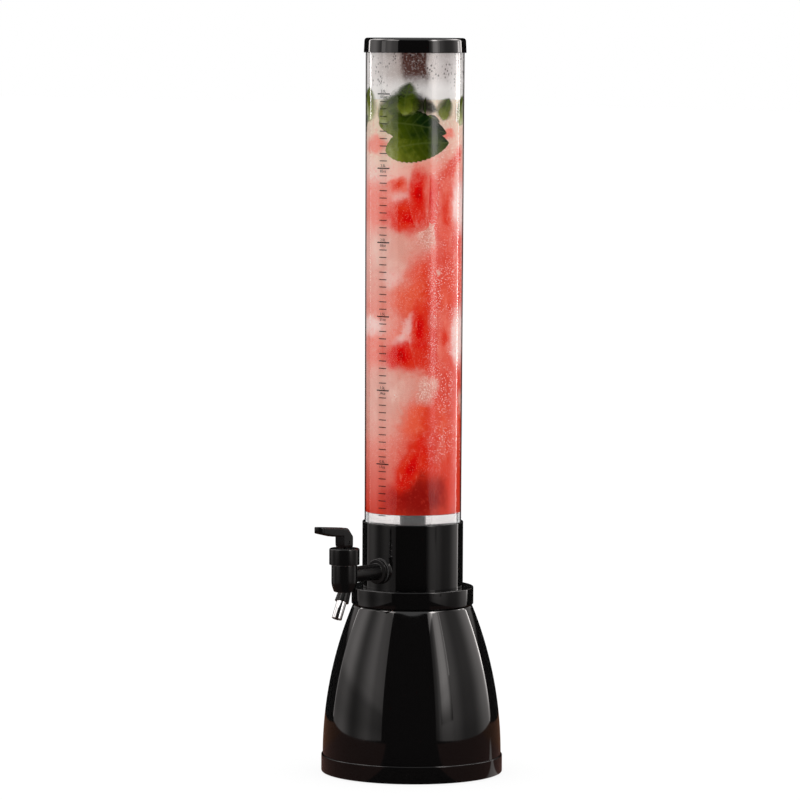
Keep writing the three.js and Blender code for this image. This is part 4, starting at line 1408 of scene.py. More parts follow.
leverSettings = {
    "width": 0.012,
    "footHalf": 0.007,
    "footEdge": 0.0012,
    "pinHeight": 0.0056,
    "backHeight": 0.006,
    "kneeHeight": 0.0146,
    "kneeSoft": 0.0006,
    "reach": 0.043,
    "armRise": 0.0039,
    "armDepth": 0.0092,
    "tipDepth": 0.0064,
    "taperLength": 0.021,
    "tipRound": 0.003,
    "tipBend": 2.2,
    "tipEdge": 0.0012,
    "side": 0.0011,
    "squareness": 0.28,
    "slotFront": 0.0053,
    "slotBack": 0.0043,
    "slotHalf": 0.0025,
    "pin": 0.0015,
    "pinGap": 0.00025,
    "cut": 0.01,
    "stations": 220,
    "around": 44,
}


def quarterRound(left, size, bend=2):
    # How far an edge has dropped at a distance left from its end: 1 - sqrt(1 - u^bend) over its last part
    return 1 - np.sqrt(1 - np.clip((size - left) / size, 0, 1) ** bend)


def leverEdges(out, s):
    # Upper and lower edge of the lever's side at each distance out from the pin
    left = s["reach"] - out
    knee = s["kneeHeight"] + s["armRise"] / s["reach"] * out
    back = s["kneeHeight"] + (s["kneeHeight"] - s["backHeight"]) / s["footHalf"] * out
    upper = (knee + back - np.sqrt((knee - back) ** 2 + s["kneeSoft"] ** 2)) / 2
    upper = upper - s["tipEdge"] * quarterRound(left, s["tipEdge"])
    depth = s["tipDepth"] + (s["armDepth"] - s["tipDepth"]) * np.clip(left / s["taperLength"], 0, 1)
    arm = knee - depth + (depth - 2 * s["tipEdge"]) * quarterRound(left, s["tipRound"], s["tipBend"])
    foot = -s["pinHeight"] + s["footEdge"] * quarterRound(s["footHalf"] - np.abs(out), s["footEdge"])
    return upper, np.where(out <= s["footHalf"], foot, arm)


def makeLever(s):
    # Rounded rectangles carried out from the pin; each has the lever's height and width there
    pinLow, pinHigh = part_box("lever_pin")
    pinZ = (pinLow.z + pinHigh.z) / 2
    share = np.linspace(0, 1, s["stations"])
    out = -s["footHalf"] + (s["reach"] + s["footHalf"]) * (1 - np.cos(math.pi * share)) / 2
    out = np.sort(np.concatenate([out, [s["footHalf"], s["footHalf"] + 1e-5]]))
    upper, lower = leverEdges(out, s)
    half = s["width"] / 2
    beyond = np.clip(out - (s["reach"] - half), 0, None) / half
    rounded = s["side"] * quarterRound(out + s["footHalf"], s["side"])
    plan = half * np.sqrt(np.clip(1 - beyond**2, 0, 1)) - rounded
    turn = np.linspace(0, 2 * math.pi, s["around"], endpoint=False) + math.pi / s["around"]
    across = np.sign(np.cos(turn)) * np.abs(np.cos(turn)) ** s["squareness"]
    up = np.sign(np.sin(turn)) * np.abs(np.sin(turn)) ** s["squareness"]
    middle, tall = (upper + lower) / 2, (upper - lower) / 2
    x = plan[:, None] * across[None, :]
    z = pinZ + middle[:, None] + tall[:, None] * up[None, :]
    sections = np.stack([x, -tapReach - out[:, None] + 0 * x, z], axis=-1)
    foot, tip = [np.repeat(end.mean(axis=0)[None, None, :], s["around"], axis=1) for end in sections[[0, -1]]]
    points = np.concatenate([foot, sections, tip])
    lever = addPiece("tapLever", points, gridFaces(len(points), s["around"], closeColumns=True), blackTap)
    slotLow = (-s["slotHalf"], -tapReach - s["slotFront"], pinZ - s["cut"])
    slotHigh = (s["slotHalf"], -tapReach + s["slotBack"], pinZ + s["slotBack"])
    hole = plainRod(s["pin"] + s["pinGap"], -s["cut"], s["cut"])
    sideways = Matrix.Translation((0, -tapReach, pinZ)) @ Matrix.Rotation(math.pi / 2, 4, "Y")
    tools = [
        boxPiece("slot", slotLow, slotHigh, blackTap),
        turnedPiece("pinHole", hole, blackTap, 48, False, sideways),
    ]
    settle(shaped(lever, tools, "DIFFERENCE"), "lever", "black_tap", "tap_lever")
    end = (pinHigh.x - pinLow.x) / 2
    pin = [(0, -end, 0), (s["pin"], -end, 0.0004), (s["pin"], end, 0.0004), (0, end, 0)]
    settle(turnedPiece("leverPin", pin, blackSteel, 48, False, sideways), "lever", "screw_steel", "lever_pin")


def shortenSpring():
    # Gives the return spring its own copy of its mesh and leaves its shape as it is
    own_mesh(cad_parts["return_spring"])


makeTapBody(tapSettings)
makeTip(tapSettings)
makeWasher("outerWasher", "outer_washer")
makeBonnet(tapSettings)
makeLever(leverSettings)
dress(padRubber, "inner_washer")
dress(blackTap, "shank_nut", "tap_stem")
dress(sealSilicone, "stem_seal", "seat_plug", "tube_gasket")
dress(steel, "return_spring")
shortenSpring()
for name in ("tapBody", "spoutTip", "outerWasher", "tapBonnet", "tapLever", "leverPin"):
    bpy.data.objects[name].visible_glossy = False  # the black plastic around it reflects the studio only
print("tap ready")


# Drink, fruit, ice and leaves

brewShape = {
    "bite": 0.00002,
    "drain": 0.013,
    "chamber": 0.0475,
    "chamberDrop": 0.0036,
    "ledgeBore": 0.0422,
    "floorPlate": 0.0093,
    "foot": 0.0003,
    "sideRings": 60,
    "sideTop": 0.001,
    "topRings": 40,
    "topWave": 0.0012,
    "topReach": 0.002,
}


def makeDrinkBody(s, tube):
    # The top climbs the wall a little: its height falls from the rim by wave (1 - exp(-inwards / reach))
    radius = roundSpan("tank_tube")[0] - tube["wall"] + s["bite"]
    low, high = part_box("drink")[0].z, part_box("drink")[1].z
    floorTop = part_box("tank_floor")[1].z
    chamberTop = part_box("tube_gasket")[0].z - s["chamberDrop"]
    foot, plate = floorTop + s["foot"], floorTop - s["floorPlate"]
    rise = np.linspace(foot, high - s["sideTop"], s["sideRings"])
    side = np.stack([np.full(s["sideRings"], radius), rise], axis=-1)
    below = roundedOutline(
        [
            (0, low, 0),
            (s["chamber"], low, 0),
            (s["chamber"], chamberTop, 0),
            (s["ledgeBore"], chamberTop, 0),
            (s["ledgeBore"], plate, 0),
            (s["drain"], plate, 0),
            (s["drain"], foot, 0),
        ]
    )
    rings = np.linspace(radius, 0, s["topRings"])
    top = np.stack([rings, high - s["topWave"] * (1 - np.exp((rings - radius) / s["topReach"]))], axis=-1)
    drink = turnedPiece("drink", np.concatenate([below, side, top]), fruitDrink, 192, False)
    return settle(drink, "tank", "drink", "drink")


def wallPlace(node):
    # The turn round the tank, from the tap, and the height of a node that lies against the wall
    low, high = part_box(node)
    return math.atan2((low.x + high.x) / 2, -(low.y + high.y) / 2), (low.z + high.z) / 2


def onWall(across, up, radius, turn, height, lean):
    # Flat sizes across and up are leaned, and rolled on the wall: angle = turn + across / wall radius
    c, s = math.cos(lean), math.sin(lean)
    flatAcross, flatUp = c * across - s * up, s * across + c * up
    angle = turn + flatAcross / wallRadius
    return np.stack([radius * np.sin(angle), -radius * np.cos(angle), height + flatUp], axis=-1)


wallRadius = roundSpan("tank_tube")[0] - tubeSettings["wall"]
lumpSettings = {
    "rings": 26,
    "around": 72,
    "proud": 0.00006,
    "sunk": 0.0004,
    "sinkPower": 30,
    "depth": 0.012,
    "layer": 0.00003,
    "bulge": (0.01, 0.06),
    "orders": [2, 3, 5, 7],
    "iceSquare": 4.0,
    "melonSquare": 2.4,
    "melonLayer": 2,  # melon lies over the layers of the ice
}


def joinParts(name, material, parts):
    # One piece from several closed parts; each part is its points, its faces and its attributes
    starts = np.cumsum([0] + [len(points) for points, faces, values in parts])
    points = np.concatenate([part[0] for part in parts])
    faces = np.concatenate([part[1] + start for part, start in zip(parts, starts)])
    values = {label: np.concatenate([part[2][label] for part in parts]) for label in parts[0][2]}
    return addPiece(name, points, faces, material, 60, values)


def lumpPart(turn, height, width, tall, lean, tone, square, seed, layer):
    # A lump pressed on the wall: polar rings whose rim is a superellipse with a few soft bulges.
    # The outer face lies in the tube's inner face and sinks under the drink's skin at its very rim.
    s = lumpSettings
    rng = np.random.default_rng(seed)
    angle = np.linspace(0, 2 * math.pi, s["around"], endpoint=False)[None, :]
    ring = np.linspace(0, 1, s["rings"])[:, None]
    rim = (np.abs(np.cos(angle)) ** square + np.abs(np.sin(angle)) ** square) ** (-1 / square)
    orders = np.array(s["orders"])[:, None, None]
    bulge = rng.uniform(*s["bulge"], orders.shape) * np.cos(orders * angle + rng.uniform(0, 6, orders.shape))
    bulge = bulge.sum(axis=0)
    reach = ring * rim * (1 + bulge)
    across, up = reach * np.cos(angle) * width / 2, reach * np.sin(angle) * tall / 2
    top = wallRadius + s["proud"] + layer * s["layer"]
    depth = min(s["depth"], width / 2, tall / 2)
    front = top - s["sunk"] * ring ** s["sinkPower"] + 0 * angle
    back = top - s["sunk"] - depth * np.sqrt(np.clip(1 - ring**2, 0, 1)) + 0 * angle
    faceOut = onWall(across, up, front, turn, height, lean)
    faceIn = onWall(across, up, back, turn, height, lean)[::-1]
    fade = 1 - ring + 0 * angle
    fade = np.concatenate([fade, fade[::-1]])
    points = np.concatenate([faceOut, faceIn])
    faces = gridFaces(len(points), s["around"], closeColumns=True)
    return points.reshape(-1, 3), faces, {"fade": fade.ravel(), "tone": np.full(fade.size, tone)}


def makeLumps(name, node, material, slot, rows, square, firstLayer):
    # Each row is set from the middle of its node: the way round the wall, up, width, tallness, lean and tone
    turn, height = wallPlace(node)
    parts = []
    for number, (aside, up, width, high, lean, tone) in enumerate(rows):
        seed = 10 * sum(map(ord, node)) + number
        place = (turn + aside / wallRadius, height + up, width, high, math.radians(lean), tone)
        parts.append(lumpPart(*place, square, seed, firstLayer + number))
    return settle(joinParts(name, material, parts), "tank", slot, node)


# Way round the wall and up from the node, width, tallness, lean in degrees and tone of each part
plainChunk = [(-0.004, -0.004, 0.048, 0.034, 8, 0.45), (0.008, 0.006, 0.018, 0.052, 0, 0.65)]
melonRows = [
    [
        (-0.003, 0.025, 0.036, 0.022, 12, 0.1),
        (0.005, -0.006, 0.056, 0.04, 3, 0.45),
        (0.03, 0.014, 0.02, 0.058, 0, 0.4),
        (0.0187, 0.018, 0.024, 0.074, 0, 0.5),
    ],
    [(-0.0077, -0.012, 0.03, 0.1, 0, 0.12)],
    plainChunk,
    plainChunk,
    [(0.001, -0.005, 0.056, 0.038, 3, 0.5), (0.0175, 0.022, 0.024, 0.086, 0, 0.48)],
    [(-0.024, 0.003, 0.024, 0.09, 0, 0.14)],
    plainChunk,
    plainChunk,
    [(-0.018, 0.018, 0.028, 0.09, -27, 0.5)],
    plainChunk,
]
iceRows = [
    [(-0.002, 0.014, 0.066, 0.052, 6, 0.0), (0.04, 0.033, 0.032, 0.042, -20, 1.3)],
    [(-0.001, 0.002, 0.006, 0.008, 0, 0.0)],
    [(0.0, 0.0, 0.044, 0.044, 15, 0.2)],
    [(0.0, 0.0, 0.04, 0.04, -10, 0.2)],
    [(-0.005, 0.018, 0.068, 0.06, -6, 0.0), (0.0375, 0.025, 0.028, 0.038, -15, 1.0)],
    [(0.0, 0.0, 0.042, 0.042, 15, 0.2)],
]


def makeFruitAndIce(s):
    for number, rows in enumerate(iceRows, start=1):
        makeLumps(f"iceCube{number}", f"ice_cube_{number}", cloudyIce, "ice", rows, s["iceSquare"], 0)
    square, layer = s["melonSquare"], s["melonLayer"]
    for number, rows in enumerate(melonRows, start=1):
        makeLumps(f"melonPiece{number}", f"melon_piece_{number}", melonFlesh, "melon", rows, square, layer)


leafSettings = {
    "along": 90,
    "across": 25,
    "teeth": 15,
    "toothDepth": 0.09,
    "bow": 0.05,
    "thickness": 0.0011,
    "midrib": 0.0007,
    "sideVeins": 9,
    "veinSlant": 1.2,
    "veinWidth": 0.07,
    "sideVein": 0.7,
    "endFade": 8,
    "toneSlide": 0.5,
    "toneEnds": 0.1,
    "toneSide": 0.08,
    "proud": 0.00026,
    "layer": 0.00003,
}


def leafPart(turn, height, length, breadth, lean, tone, haze, layer):
    # A leaf on the wall: a runs along it and t across; half its breadth is sin(pi a^0.85)^0.75 with teeth.
    # The two faces meet at the rim. Veins: a midrib, and side veins that slant towards the tip.
    s = leafSettings
    a = np.linspace(0, 1, s["along"])[:, None]
    t = np.linspace(-1, 1, s["across"])[None, :]
    teeth = 1 + s["toothDepth"] * ((a * s["teeth"]) % 1 - 0.5)
    halfHere = breadth / 2 * np.sin(math.pi * a**0.85) ** 0.75 * teeth
    across = (a - 0.5) * length + 0 * t
    up = halfHere * t + s["bow"] * length * np.sin(math.pi * a)
    rim = np.sqrt(np.clip(1 - t**2, 0, 1)) * np.sin(math.pi * a) ** 0.5
    front = wallRadius + s["proud"] + layer * s["layer"] + 0 * rim
    back = front - s["thickness"] * rim
    midrib = np.exp(-((t * halfHere / s["midrib"]) ** 2))
    slant = (a * s["sideVeins"] - np.abs(t) * s["veinSlant"]) % 1 - 0.5
    veins = np.clip(midrib + s["sideVein"] * np.exp(-((slant / s["veinWidth"]) ** 2)), 0, 1)
    fade = (1 - np.abs(t)) * np.clip(a * (1 - a) * s["endFade"], 0, 1)
    tones = tone + s["toneSlide"] * (0.5 - a) + s["toneEnds"] * np.cos(math.pi * a) ** 2 - s["toneSide"] * t
    sheets = [onWall(across, up, radius, turn, height, lean).reshape(-1, 3) for radius in (front, back)]
    grid = gridFaces(s["along"], s["across"])
    faces = np.concatenate([grid, grid[:, ::-1] + fade.size])
    shown = {"vein": veins, "fade": fade, "tone": tones, "haze": np.full(fade.shape, haze)}
    return np.concatenate(sheets), faces, {key: np.tile(value.ravel(), 2) for key, value in shown.items()}


def makeLeaves(name, node, rows):
    # Several leaves of one sprig in one piece. Each row is set from the middle of its node: the way round the
    # wall, up, length, breadth, lean in degrees, tone and haze
    turn, height = wallPlace(node)
    parts = []
    for layer, (aside, up, length, breadth, lean, tone, haze) in enumerate(rows):
        place = (turn + aside / wallRadius, height + up, length, breadth, math.radians(lean))
        parts.append(leafPart(*place, tone, haze, layer))
    return settle(joinParts(name, mintLeaf, parts), "tank", "mint", node)


sprigs = [
    [
        (0.0015, -0.0025, 0.068, 0.036, 7, 0.4, 0.0),
        (-0.0045, 0.0165, 0.074, 0.03, -8, 0.3, 0.0),
    ],
    [
        (-0.034, 0.0105, 0.038, 0.04, 85, 0.6, 0.5),
        (0.0565, 0.0065, 0.026, 0.026, 70, 0.5, 0.5),
        (0.029, 0.0095, 0.036, 0.026, -15, 0.04, 0.5),
        (-0.002, 0.006, 0.038, 0.026, 50, 0.5, 0.35),
        (0.0127, 0.009, 0.038, 0.03, 10, 0.15, 0.4),
        (0.0155, 0.0165, 0.036, 0.034, 80, 0.4, 0.5),
        (0.0335, 0.0105, 0.0165, 0.0035, 88, 0.0, 0.0),
        (0.0425, -0.003, 0.014, 0.005, -30, 0.1, 0.3),
    ],
    [
        (0.0, 0.0, 0.046, 0.028, 17, 0.4, 0.2),
        (-0.045, 0.0185, 0.034, 0.03, 75, 0.6, 0.5),
    ],
    [
        (0.0, 0.0, 0.052, 0.034, -17, 0.3, 0.2),
        (0.023, 0.014, 0.034, 0.02, 45, 0.5, 0.5),
    ],
]
makeDrinkBody(brewShape, tubeSettings)
makeFruitAndIce(lumpSettings)
for number, sprig in enumerate(sprigs, start=1):
    makeLeaves(f"mintLeaf{number}", f"mint_leaf_{number}", sprig)
print("drink ready")


# The printed scale, in plain litres and ounces

scaleSettings = {
    "topMark": 0.6918,
    "markStep": 0.07466,
    "marks": [("3.0", "100"), ("2.5", "85"), ("2.0", "68"), ("1.5", "51"), ("1.0", "34"), ("0.5", "17")],
    "fineSteps": 10,
    "fineLength": 0.0092,
    "mainLength": 0.0157,
    "mainWeight": 0.0011,
    "fineWeight": 0.0008,
    "lowestMark": 0.262,
    "lineSteps": 13,
    "inkThickness": 0.00005,
    "inkSunk": 0.00001,
    "letterSize": 0.004,
    "letterHeight": 0.72,
    "letterGap": 0.0013,
}


def tubeRadiusAt(z):
    radius, low, high = roundSpan("tank_tube")
    return radius - tubeSettings["draft"] * (high - z) / (high - low)


def printedLines(s):
    # Each line is a thin bent bar: its corners are worked out for all lines and steps at once
    fine = np.arange(s["fineSteps"] * len(s["marks"]))
    heights = s["topMark"] - fine * s["markStep"] / s["fineSteps"]
    main = fine % s["fineSteps"] == 0
    lengths = np.where(main, s["mainLength"], s["fineLength"])
    weights = np.where(main, s["mainWeight"], s["fineWeight"])
    shown = heights > s["lowestMark"]
    heights, lengths, weights = [row[shown][:, None, None] for row in (heights, lengths, weights)]
    share = np.linspace(-0.5, 0.5, s["lineSteps"])[None, :, None]
    side = np.array([0, 1, 1, 0])[None, None, :]
    rise = np.array([-0.5, -0.5, 0.5, 0.5])[None, None, :] * weights
    z = heights + rise + 0 * share
    radius = tubeRadiusAt(z) - s["inkSunk"] + side * s["inkThickness"]
    angle = share * lengths / tubeRadiusAt(z)
    points = np.stack([radius * np.sin(angle), -radius * np.cos(angle), z], axis=-1)
    last = 4 * s["lineSteps"] - 1
    ends = np.array([[0, 1, 2, 3], [last, last - 1, last - 2, last - 3]])
    oneBar = np.concatenate([gridFaces(s["lineSteps"], 4, closeColumns=True), ends])
    offsets = (last + 1) * np.arange(len(heights))[:, None, None]
    return points.reshape(-1, 3), (oneBar[None] + offsets).reshape(-1, 4)


def bentWord(word, z, s):
    # Flat letters are filled, given a thickness and bent round the tube
    curve = bpy.data.curves.new("word", "FONT")
    curve.body, curve.size, curve.align_x = word, s["letterSize"], "CENTER"
    curve.extrude = s["inkThickness"] / 2
    curve.resolution_u = 3
    holder = bpy.data.objects.new("word", curve)
    bpy.context.collection.objects.link(holder)
    mesh = bpy.data.meshes.new_from_object(holder.evaluated_get(bpy.context.evaluated_depsgraph_get()))
    flat = np.empty(3 * len(mesh.vertices), dtype=np.float32)
    mesh.vertices.foreach_get("co", flat)
    across, up, out = flat.reshape(-1, 3).T
    angle = across / tubeRadiusAt(z)
    radius = tubeRadiusAt(z + up) + out + s["inkThickness"] / 2
    bent = np.stack([radius * np.sin(angle), -radius * np.cos(angle), z + up], axis=-1)
    mesh.vertices.foreach_set("co", bent.astype(np.float32).ravel())
    bpy.data.objects.remove(holder)
    return mesh


def makeScale(s):
    # The litres stand over each main line and the ounces hang under it
    points, faces = printedLines(s)
    piece = addPiece("scalePrint", points, faces, scaleInk)
    work = bmesh.new()
    work.from_mesh(piece.data)
    for row, (litres, ounces) in enumerate(s["marks"]):
        height = s["topMark"] - row * s["markStep"]
        under = height - s["letterGap"] - s["letterSize"] * s["letterHeight"]
        for word, z in ((litres + "L", height + s["letterGap"]), (ounces + "oz", under)):
            work.from_mesh(bentWord(word, z, s))
    work.to_mesh(piece.data)
    work.free()
    return settle(finishMesh(piece, scaleInk), "tank", "black_gloss")


makeScale(scaleSettings)
print("scale ready")


# Studio: floor, panels, world and camera

viewSettings = {
    "azimuth": 39.5,
    "distance": 4.83,
    "height": 0.765,
    "pitch": 4.55,
    "yaw": 0.162,
    "roll": 0.28,
    "lens": 214.4,
    "farthest": 200,
}
studio = {
    "floorSize": 60.0,
    "floorColour": (0.92, 0.92, 0.92, 1),
    "floorGlow": 1.06,
    "floorShare": 0.8,  # of its own light, the rest shows shadow
    "tableFar": 0.48,
    "tableAside": 1.3,
    "tableGlow": (0.13, 0.068, 0.058, 1),
    "tableBack": (0.16, 0.075, 0.045, 1),
    "tableTurn": (0.1, 0.2),
    "frontWedge": 0.85,
    "wedgeBlur": 0.015,
    "tableReach": 1.0,
    "tableBlur": 0.01,
    "leastAway": 0.001,
    "streakWay": (0.836, 0.549),
    "streakFrom": (0.0775, -0.042),
    "streakWidth": (0.012, 0.006),
    "streakStart": (0.04, 0.06),
    "streakGlow": 0.55,
    "streakReach": 0.5,
    "streakFade": 0.2,
    "darkGlow": (0.0105, 0.0105, 0.0105, 1),
    "panelGlow": (1.0, 0.95, 0.93, 1),
    "curtainRadius": 6.0,
    "curtainFoot": -0.1,
    "curtainHeight": 4.5,
    "curtainSides": 64,
    "panelAside": 0.9,
    "bandGap": 0.005,
    "panelFar": 0.56,
    "panelHigh": 1.7,
}
# Brightness along a panel from its near end to its far end, and upwards from the table
leftPanel = {
    "near": -1.13,
    "along": [(0.0, 0.8), (0.22, 1.0), (0.35, 1.5), (0.58, 0.5), (0.76, 1.6), (0.93, 1.0), (1.0, 0.9)],
    "upwards": [
        (0.0, 0.48),
        (0.05, 0.38),
        (0.1, 0.44),
        (0.15, 0.88),
        (0.206, 1.0),
        (0.618, 1.0),
        (0.676, 6.0),
        (1.0, 6.0),
    ],
}
rightPanel = {
    "near": -1.5,
    "along": [
        (0.0, 0.22),
        (0.08, 0.35),
        (0.16, 0.85),
        (0.22, 1.2),
        (0.31, 1.3),
        (0.37, 1.25),
        (0.44, 1.0),
        (0.6, 0.42),
        (0.7, 0.42),
        (0.89, 1.4),
        (0.96, 1.6),
        (1.0, 3.4),
    ],
    "upwards": [(0.0, 0.55), (0.088, 0.8), (0.206, 1.0), (0.618, 1.0), (0.676, 6.0), (1.0, 6.0)],
}
# A brighter part of the right panel, above the height that the neck reflects
rightBand = {
    "ends": (-1.14, -0.64),
    "low": 0.12,
    "along": [(0.0, 1.2), (0.22, 2.9), (0.5, 3.5), (0.74, 3.4), (1.0, 1.0)],
    "upwards": [(0.0, 0.25), (0.12, 0.8), (0.2, 1.0), (0.57, 1.0), (0.637, 6.0), (1.0, 6.0)],
}
lowLeft = [(0.0, 1.0), (0.5, 1.0), (0.62, 3.0), (0.85, 3.0), (1.0, 2.0)]
lowRight = [(0.0, 1.0), (0.2, 5.0), (0.37, 10.0), (0.74, 10.0), (0.88, 4.0), (1.0, 4.0)]
fadeIn = [(0.0, 0.0), (0.2, 0.5), (1.0, 0.5)]
# Narrow upright strips: name, bearing in degrees from the camera, distance, width, lowest and highest place,
# and brightness, one number or upwards
strips = [
    ("leftTopStrip", -123.4, 1.25, 0.16, 0.68, 1.7, 8.0),
    ("rightTopStrip", 123.4, 1.25, 0.16, 0.68, 1.7, 8.0),
    ("leftLowStrip", -123.4, 1.25, 0.05, 0.0, 0.68, lowLeft),
    ("rightLowStrip", 123.4, 1.25, 0.05, 0.0, 0.68, lowRight),
    ("rightCore", 54.0, 1.08, 0.03, 0.38, 1.05, 2.8),
    ("rightCapGlow", 113.5, 0.95, 0.12, 0.68, 0.85, 7.0),
    ("leftCapGlow", -74.0, 0.87, 0.16, 0.68, 0.85, 2.0),
    ("leftBackGlow", -139.0, 1.25, 0.62, 0.26, 0.69, fadeIn),
    ("rightBackGlow", 139.0, 1.25, 0.62, 0.26, 0.69, fadeIn),
]


def mirrorOnly(tree):
    # One for rays that a surface reflects; rays through glass count as glossy too, so they are taken out
    rays = addNode(tree, "ShaderNodeLightPath").outputs
    return times(tree, rays["Is Glossy Ray"], minus(tree, 1.0, rays["Is Transmission Ray"]))


def profile(tree, amount, stops):
    # A curve through the stops, smoothed, as a number
    highest = max(value for place, value in stops)
    ramp = colourRamp(tree, amount, [(place, (value / highest,) * 3 + (1,)) for place, value in stops])
    ramp.node.color_ramp.interpolation = "EASE"
    return times(tree, ramp, highest)


def bareMaterial(name):
    # A material with nothing in it but its output, whose surface socket comes back too
    material = bpy.data.materials.new(name)
    material.use_nodes = True
    tree = material.node_tree
    tree.nodes.clear()
    return material, tree, addNode(tree, "ShaderNodeOutputMaterial").inputs["Surface"]


def emission(tree, **values):
    return drive(tree, addNode(tree, "ShaderNodeEmission"), **values).outputs[0]


def mixShaders(tree, amount, first, second):
    node = addNode(tree, "ShaderNodeMixShader")
    for socket, value in zip(node.inputs, (amount, first, second)):
        feed(tree, socket, value)
    return node.outputs[0]


def stagePiece(name, points, faces, material):
    mesh = bpy.data.meshes.new(name)
    mesh.from_pydata(points, [], faces)
    mesh.materials.append(material)
    piece = bpy.data.objects.new(name, mesh)
    bpy.context.collection.objects.link(piece)
    return piece


def reflectionOnly(sheet):
    sheet.visible_camera = False
    sheet.visible_transmission = False
    sheet.visible_diffuse = False
    sheet.visible_shadow = False


def tableColour(tree, s):
    # What a reflection of the floor shows: a brown table, dark to the front, with a bright streak along the
    # line that starts at streakFrom and runs the way of streakWay
    facing = (0, 0, -math.radians(viewSettings["azimuth"]))
    x, y = splitUp(tree, stretched(tree, objectPlace(tree), turn=facing))[:2]
    away = calc(tree, "SQRT", plus(tree, times(tree, x, x), times(tree, y, y)))
    away = calc(tree, "MAXIMUM", away, s["leastAway"])
    blur = s["tableBlur"]
    onTable = times(
        tree,
        ease(tree, y, s["tableFar"] + blur, s["tableFar"] - blur),
        ease(tree, calc(tree, "ABSOLUTE", x), s["tableAside"] + blur, s["tableAside"] - blur),
        ease(tree, away, s["tableReach"] + 2 * blur, s["tableReach"] - 2 * blur),
    )
    towardsCamera = calc(tree, "DIVIDE", times(tree, y, -1.0), away)
    wedge, blurThere = s["frontWedge"], s["wedgeBlur"]
    aside = ease(tree, towardsCamera, wedge + blurThere, wedge - blurThere)
    wayX, wayY = s["streakWay"]
    offset = s["streakFrom"][0] * wayY - s["streakFrom"][1] * wayX
    aslant = minus(tree, times(tree, x, wayY), times(tree, y, wayX))
    offLine = calc(tree, "ABSOLUTE", minus(tree, aslant, offset))
    streak = times(
        tree,
        ease(tree, offLine, *s["streakWidth"], 0.0, s["streakGlow"]),
        ease(tree, x, *s["streakStart"]),
        ease(tree, away, s["streakReach"], s["streakReach"] - s["streakFade"]),
    )
    wood = blendColour(tree, ease(tree, y, *s["tableTurn"]), s["tableGlow"], s["tableBack"])
    shade = blendColour(tree, times(tree, onTable, aside), s["darkGlow"], wood)
    return blendColour(tree, streak, shade, s["panelGlow"])


def makeFloor(s):
    # White for the camera apart from the object's soft shadow; a dark table top in reflections
    half = s["floorSize"] / 2
    material, tree, surface = bareMaterial("studioFloor")
    cloth = drive(tree, addNode(tree, "ShaderNodeBsdfDiffuse"), Color=s["floorColour"]).outputs[0]
    glow = emission(tree, Color=(1, 1, 1, 1), Strength=s["floorGlow"])
    rays = addNode(tree, "ShaderNodeLightPath").outputs
    seen = calc(tree, "MAXIMUM", rays["Is Camera Ray"], rays["Is Transmission Ray"])
    seen = times(tree, seen, s["floorShare"])
    table = emission(tree, Color=tableColour(tree, s))
    feed(tree, surface, mixShaders(tree, mirrorOnly(tree), mixShaders(tree, seen, cloth, glow), table))
    corners = [(-half, -half, 0), (half, -half, 0), (half, half, 0), (-half, half, 0)]
    stagePiece("studioFloor", corners, [(0, 1, 2, 3)], material)


def makeSheet(name, start, end, low, high, glow):
    # An upright glowing sheet between two places on the floor, seen only in reflections
    material, tree, surface = bareMaterial(name)
    share = splitUp(tree, addNode(tree, "ShaderNodeUVMap", uv_map="along").outputs["UV"])
    across, upwards = profile(tree, share["X"], glow["along"]), profile(tree, share["Y"], glow["upwards"])
    feed(tree, surface, emission(tree, Color=studio["panelGlow"], Strength=times(tree, across, upwards)))
    turn = np.array(Matrix.Rotation(math.radians(viewSettings["azimuth"]), 3, "Z"))
    corners = np.array([(*start, low), (*end, low), (*end, high), (*start, high)]) @ turn.T
    sheet = stagePiece(name, corners.tolist(), [(0, 1, 2, 3)], material)
    along = sheet.data.uv_layers.new(name="along")
    along.data.foreach_set("uv", np.array([0, 0, 1, 0, 1, 1, 0, 1], dtype=np.float32))
    reflectionOnly(sheet)


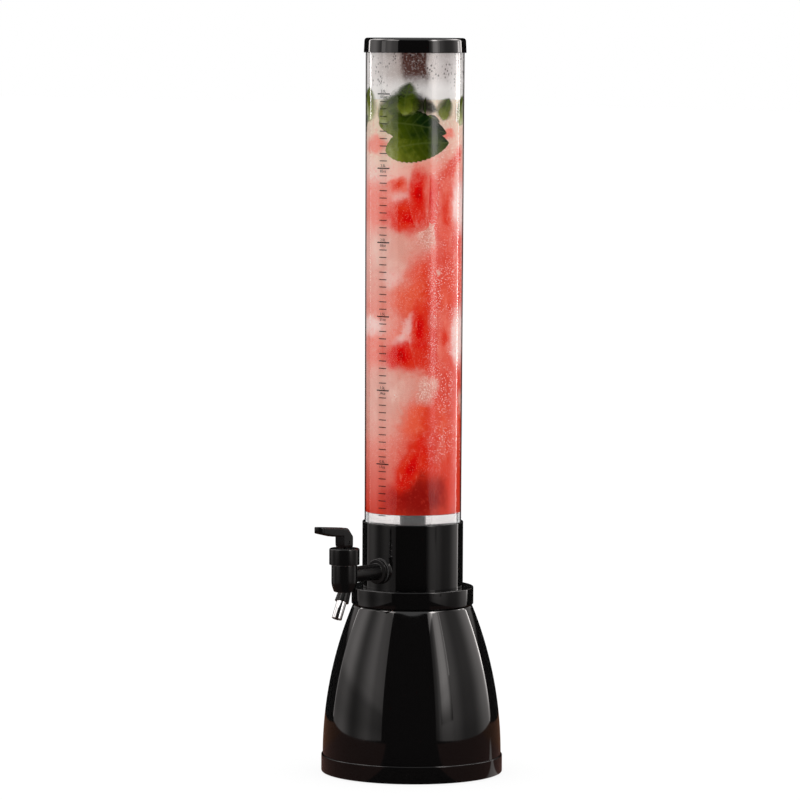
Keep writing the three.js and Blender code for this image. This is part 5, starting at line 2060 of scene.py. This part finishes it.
def makePanels(s):
    # A large panel on each side, and narrow strips that draw the rim lines
    aside, far = s["panelAside"], s["panelFar"]
    makeSheet("leftPanel", (-aside, leftPanel["near"]), (-aside, far), 0, s["panelHigh"], leftPanel)
    makeSheet("rightPanel", (aside, rightPanel["near"]), (aside, far), 0, s["panelHigh"], rightPanel)
    band = [(aside - s["bandGap"], end) for end in rightBand["ends"]]
    makeSheet("rightBand", *band, rightBand["low"], s["panelHigh"], rightBand)
    for name, bearing, distance, width, low, high, glow in strips:
        angle = math.radians(bearing)
        out = np.array([math.sin(angle), -math.cos(angle)]) * distance
        along = np.array([math.cos(angle), math.sin(angle)]) * width / 2
        upwards = glow if isinstance(glow, list) else [(0.0, glow), (1.0, glow)]
        evenly = {"along": [(0.0, 1.0), (1.0, 1.0)], "upwards": upwards}
        makeSheet(name, tuple(out - along), tuple(out + along), low, high, evenly)


def makeCurtain(s):
    # A dark round curtain that only reflections see, so that black plastic keeps its black edges
    sides = s["curtainSides"]
    angle = np.linspace(0, 2 * math.pi, sides, endpoint=False)
    ring = np.stack([np.cos(angle), np.sin(angle)], axis=-1) * s["curtainRadius"]
    heights = (s["curtainFoot"], s["curtainHeight"])
    points = np.concatenate([np.column_stack([ring, np.full(sides, z)]) for z in heights])
    material, tree, surface = bareMaterial("darkCurtain")
    feed(tree, surface, emission(tree, Color=s["darkGlow"]))
    faces = gridFaces(2, sides, closeColumns=True)
    reflectionOnly(stagePiece("darkCurtain", points.tolist(), faces.tolist(), material))


def makeWorld():
    # White all round, which also lights the scene
    world = bpy.data.worlds.new("studio")
    bpy.context.scene.world = world
    world.use_nodes = True
    world.cycles.sampling_method = "NONE"
    drive(world.node_tree, world.node_tree.nodes["Background"], Color=(1, 1, 1, 1), Strength=1.0)


def makeCamera(s):
    data = bpy.data.cameras.new("photoView")
    data.lens = s["lens"]
    data.clip_end = s["farthest"]
    camera = bpy.data.objects.new("photoView", data)
    bpy.context.collection.objects.link(camera)
    turn = Matrix.Rotation(math.radians(s["azimuth"]), 4, "Z")
    stand = Matrix.Translation((0, -s["distance"], s["height"]))
    yaw = Matrix.Rotation(math.radians(s["yaw"]), 4, "Z")
    pitch = Matrix.Rotation(math.radians(90 - s["pitch"]), 4, "X")
    roll = Matrix.Rotation(math.radians(s["roll"]), 4, "Z")
    camera.matrix_world = turn @ stand @ yaw @ pitch @ roll
    bpy.context.scene.camera = camera


makeFloor(studio)
makePanels(studio)
makeCurtain(studio)
makeWorld()
makeCamera(viewSettings)
bpy.context.scene.view_settings.view_transform = "Standard"
print("studio ready")
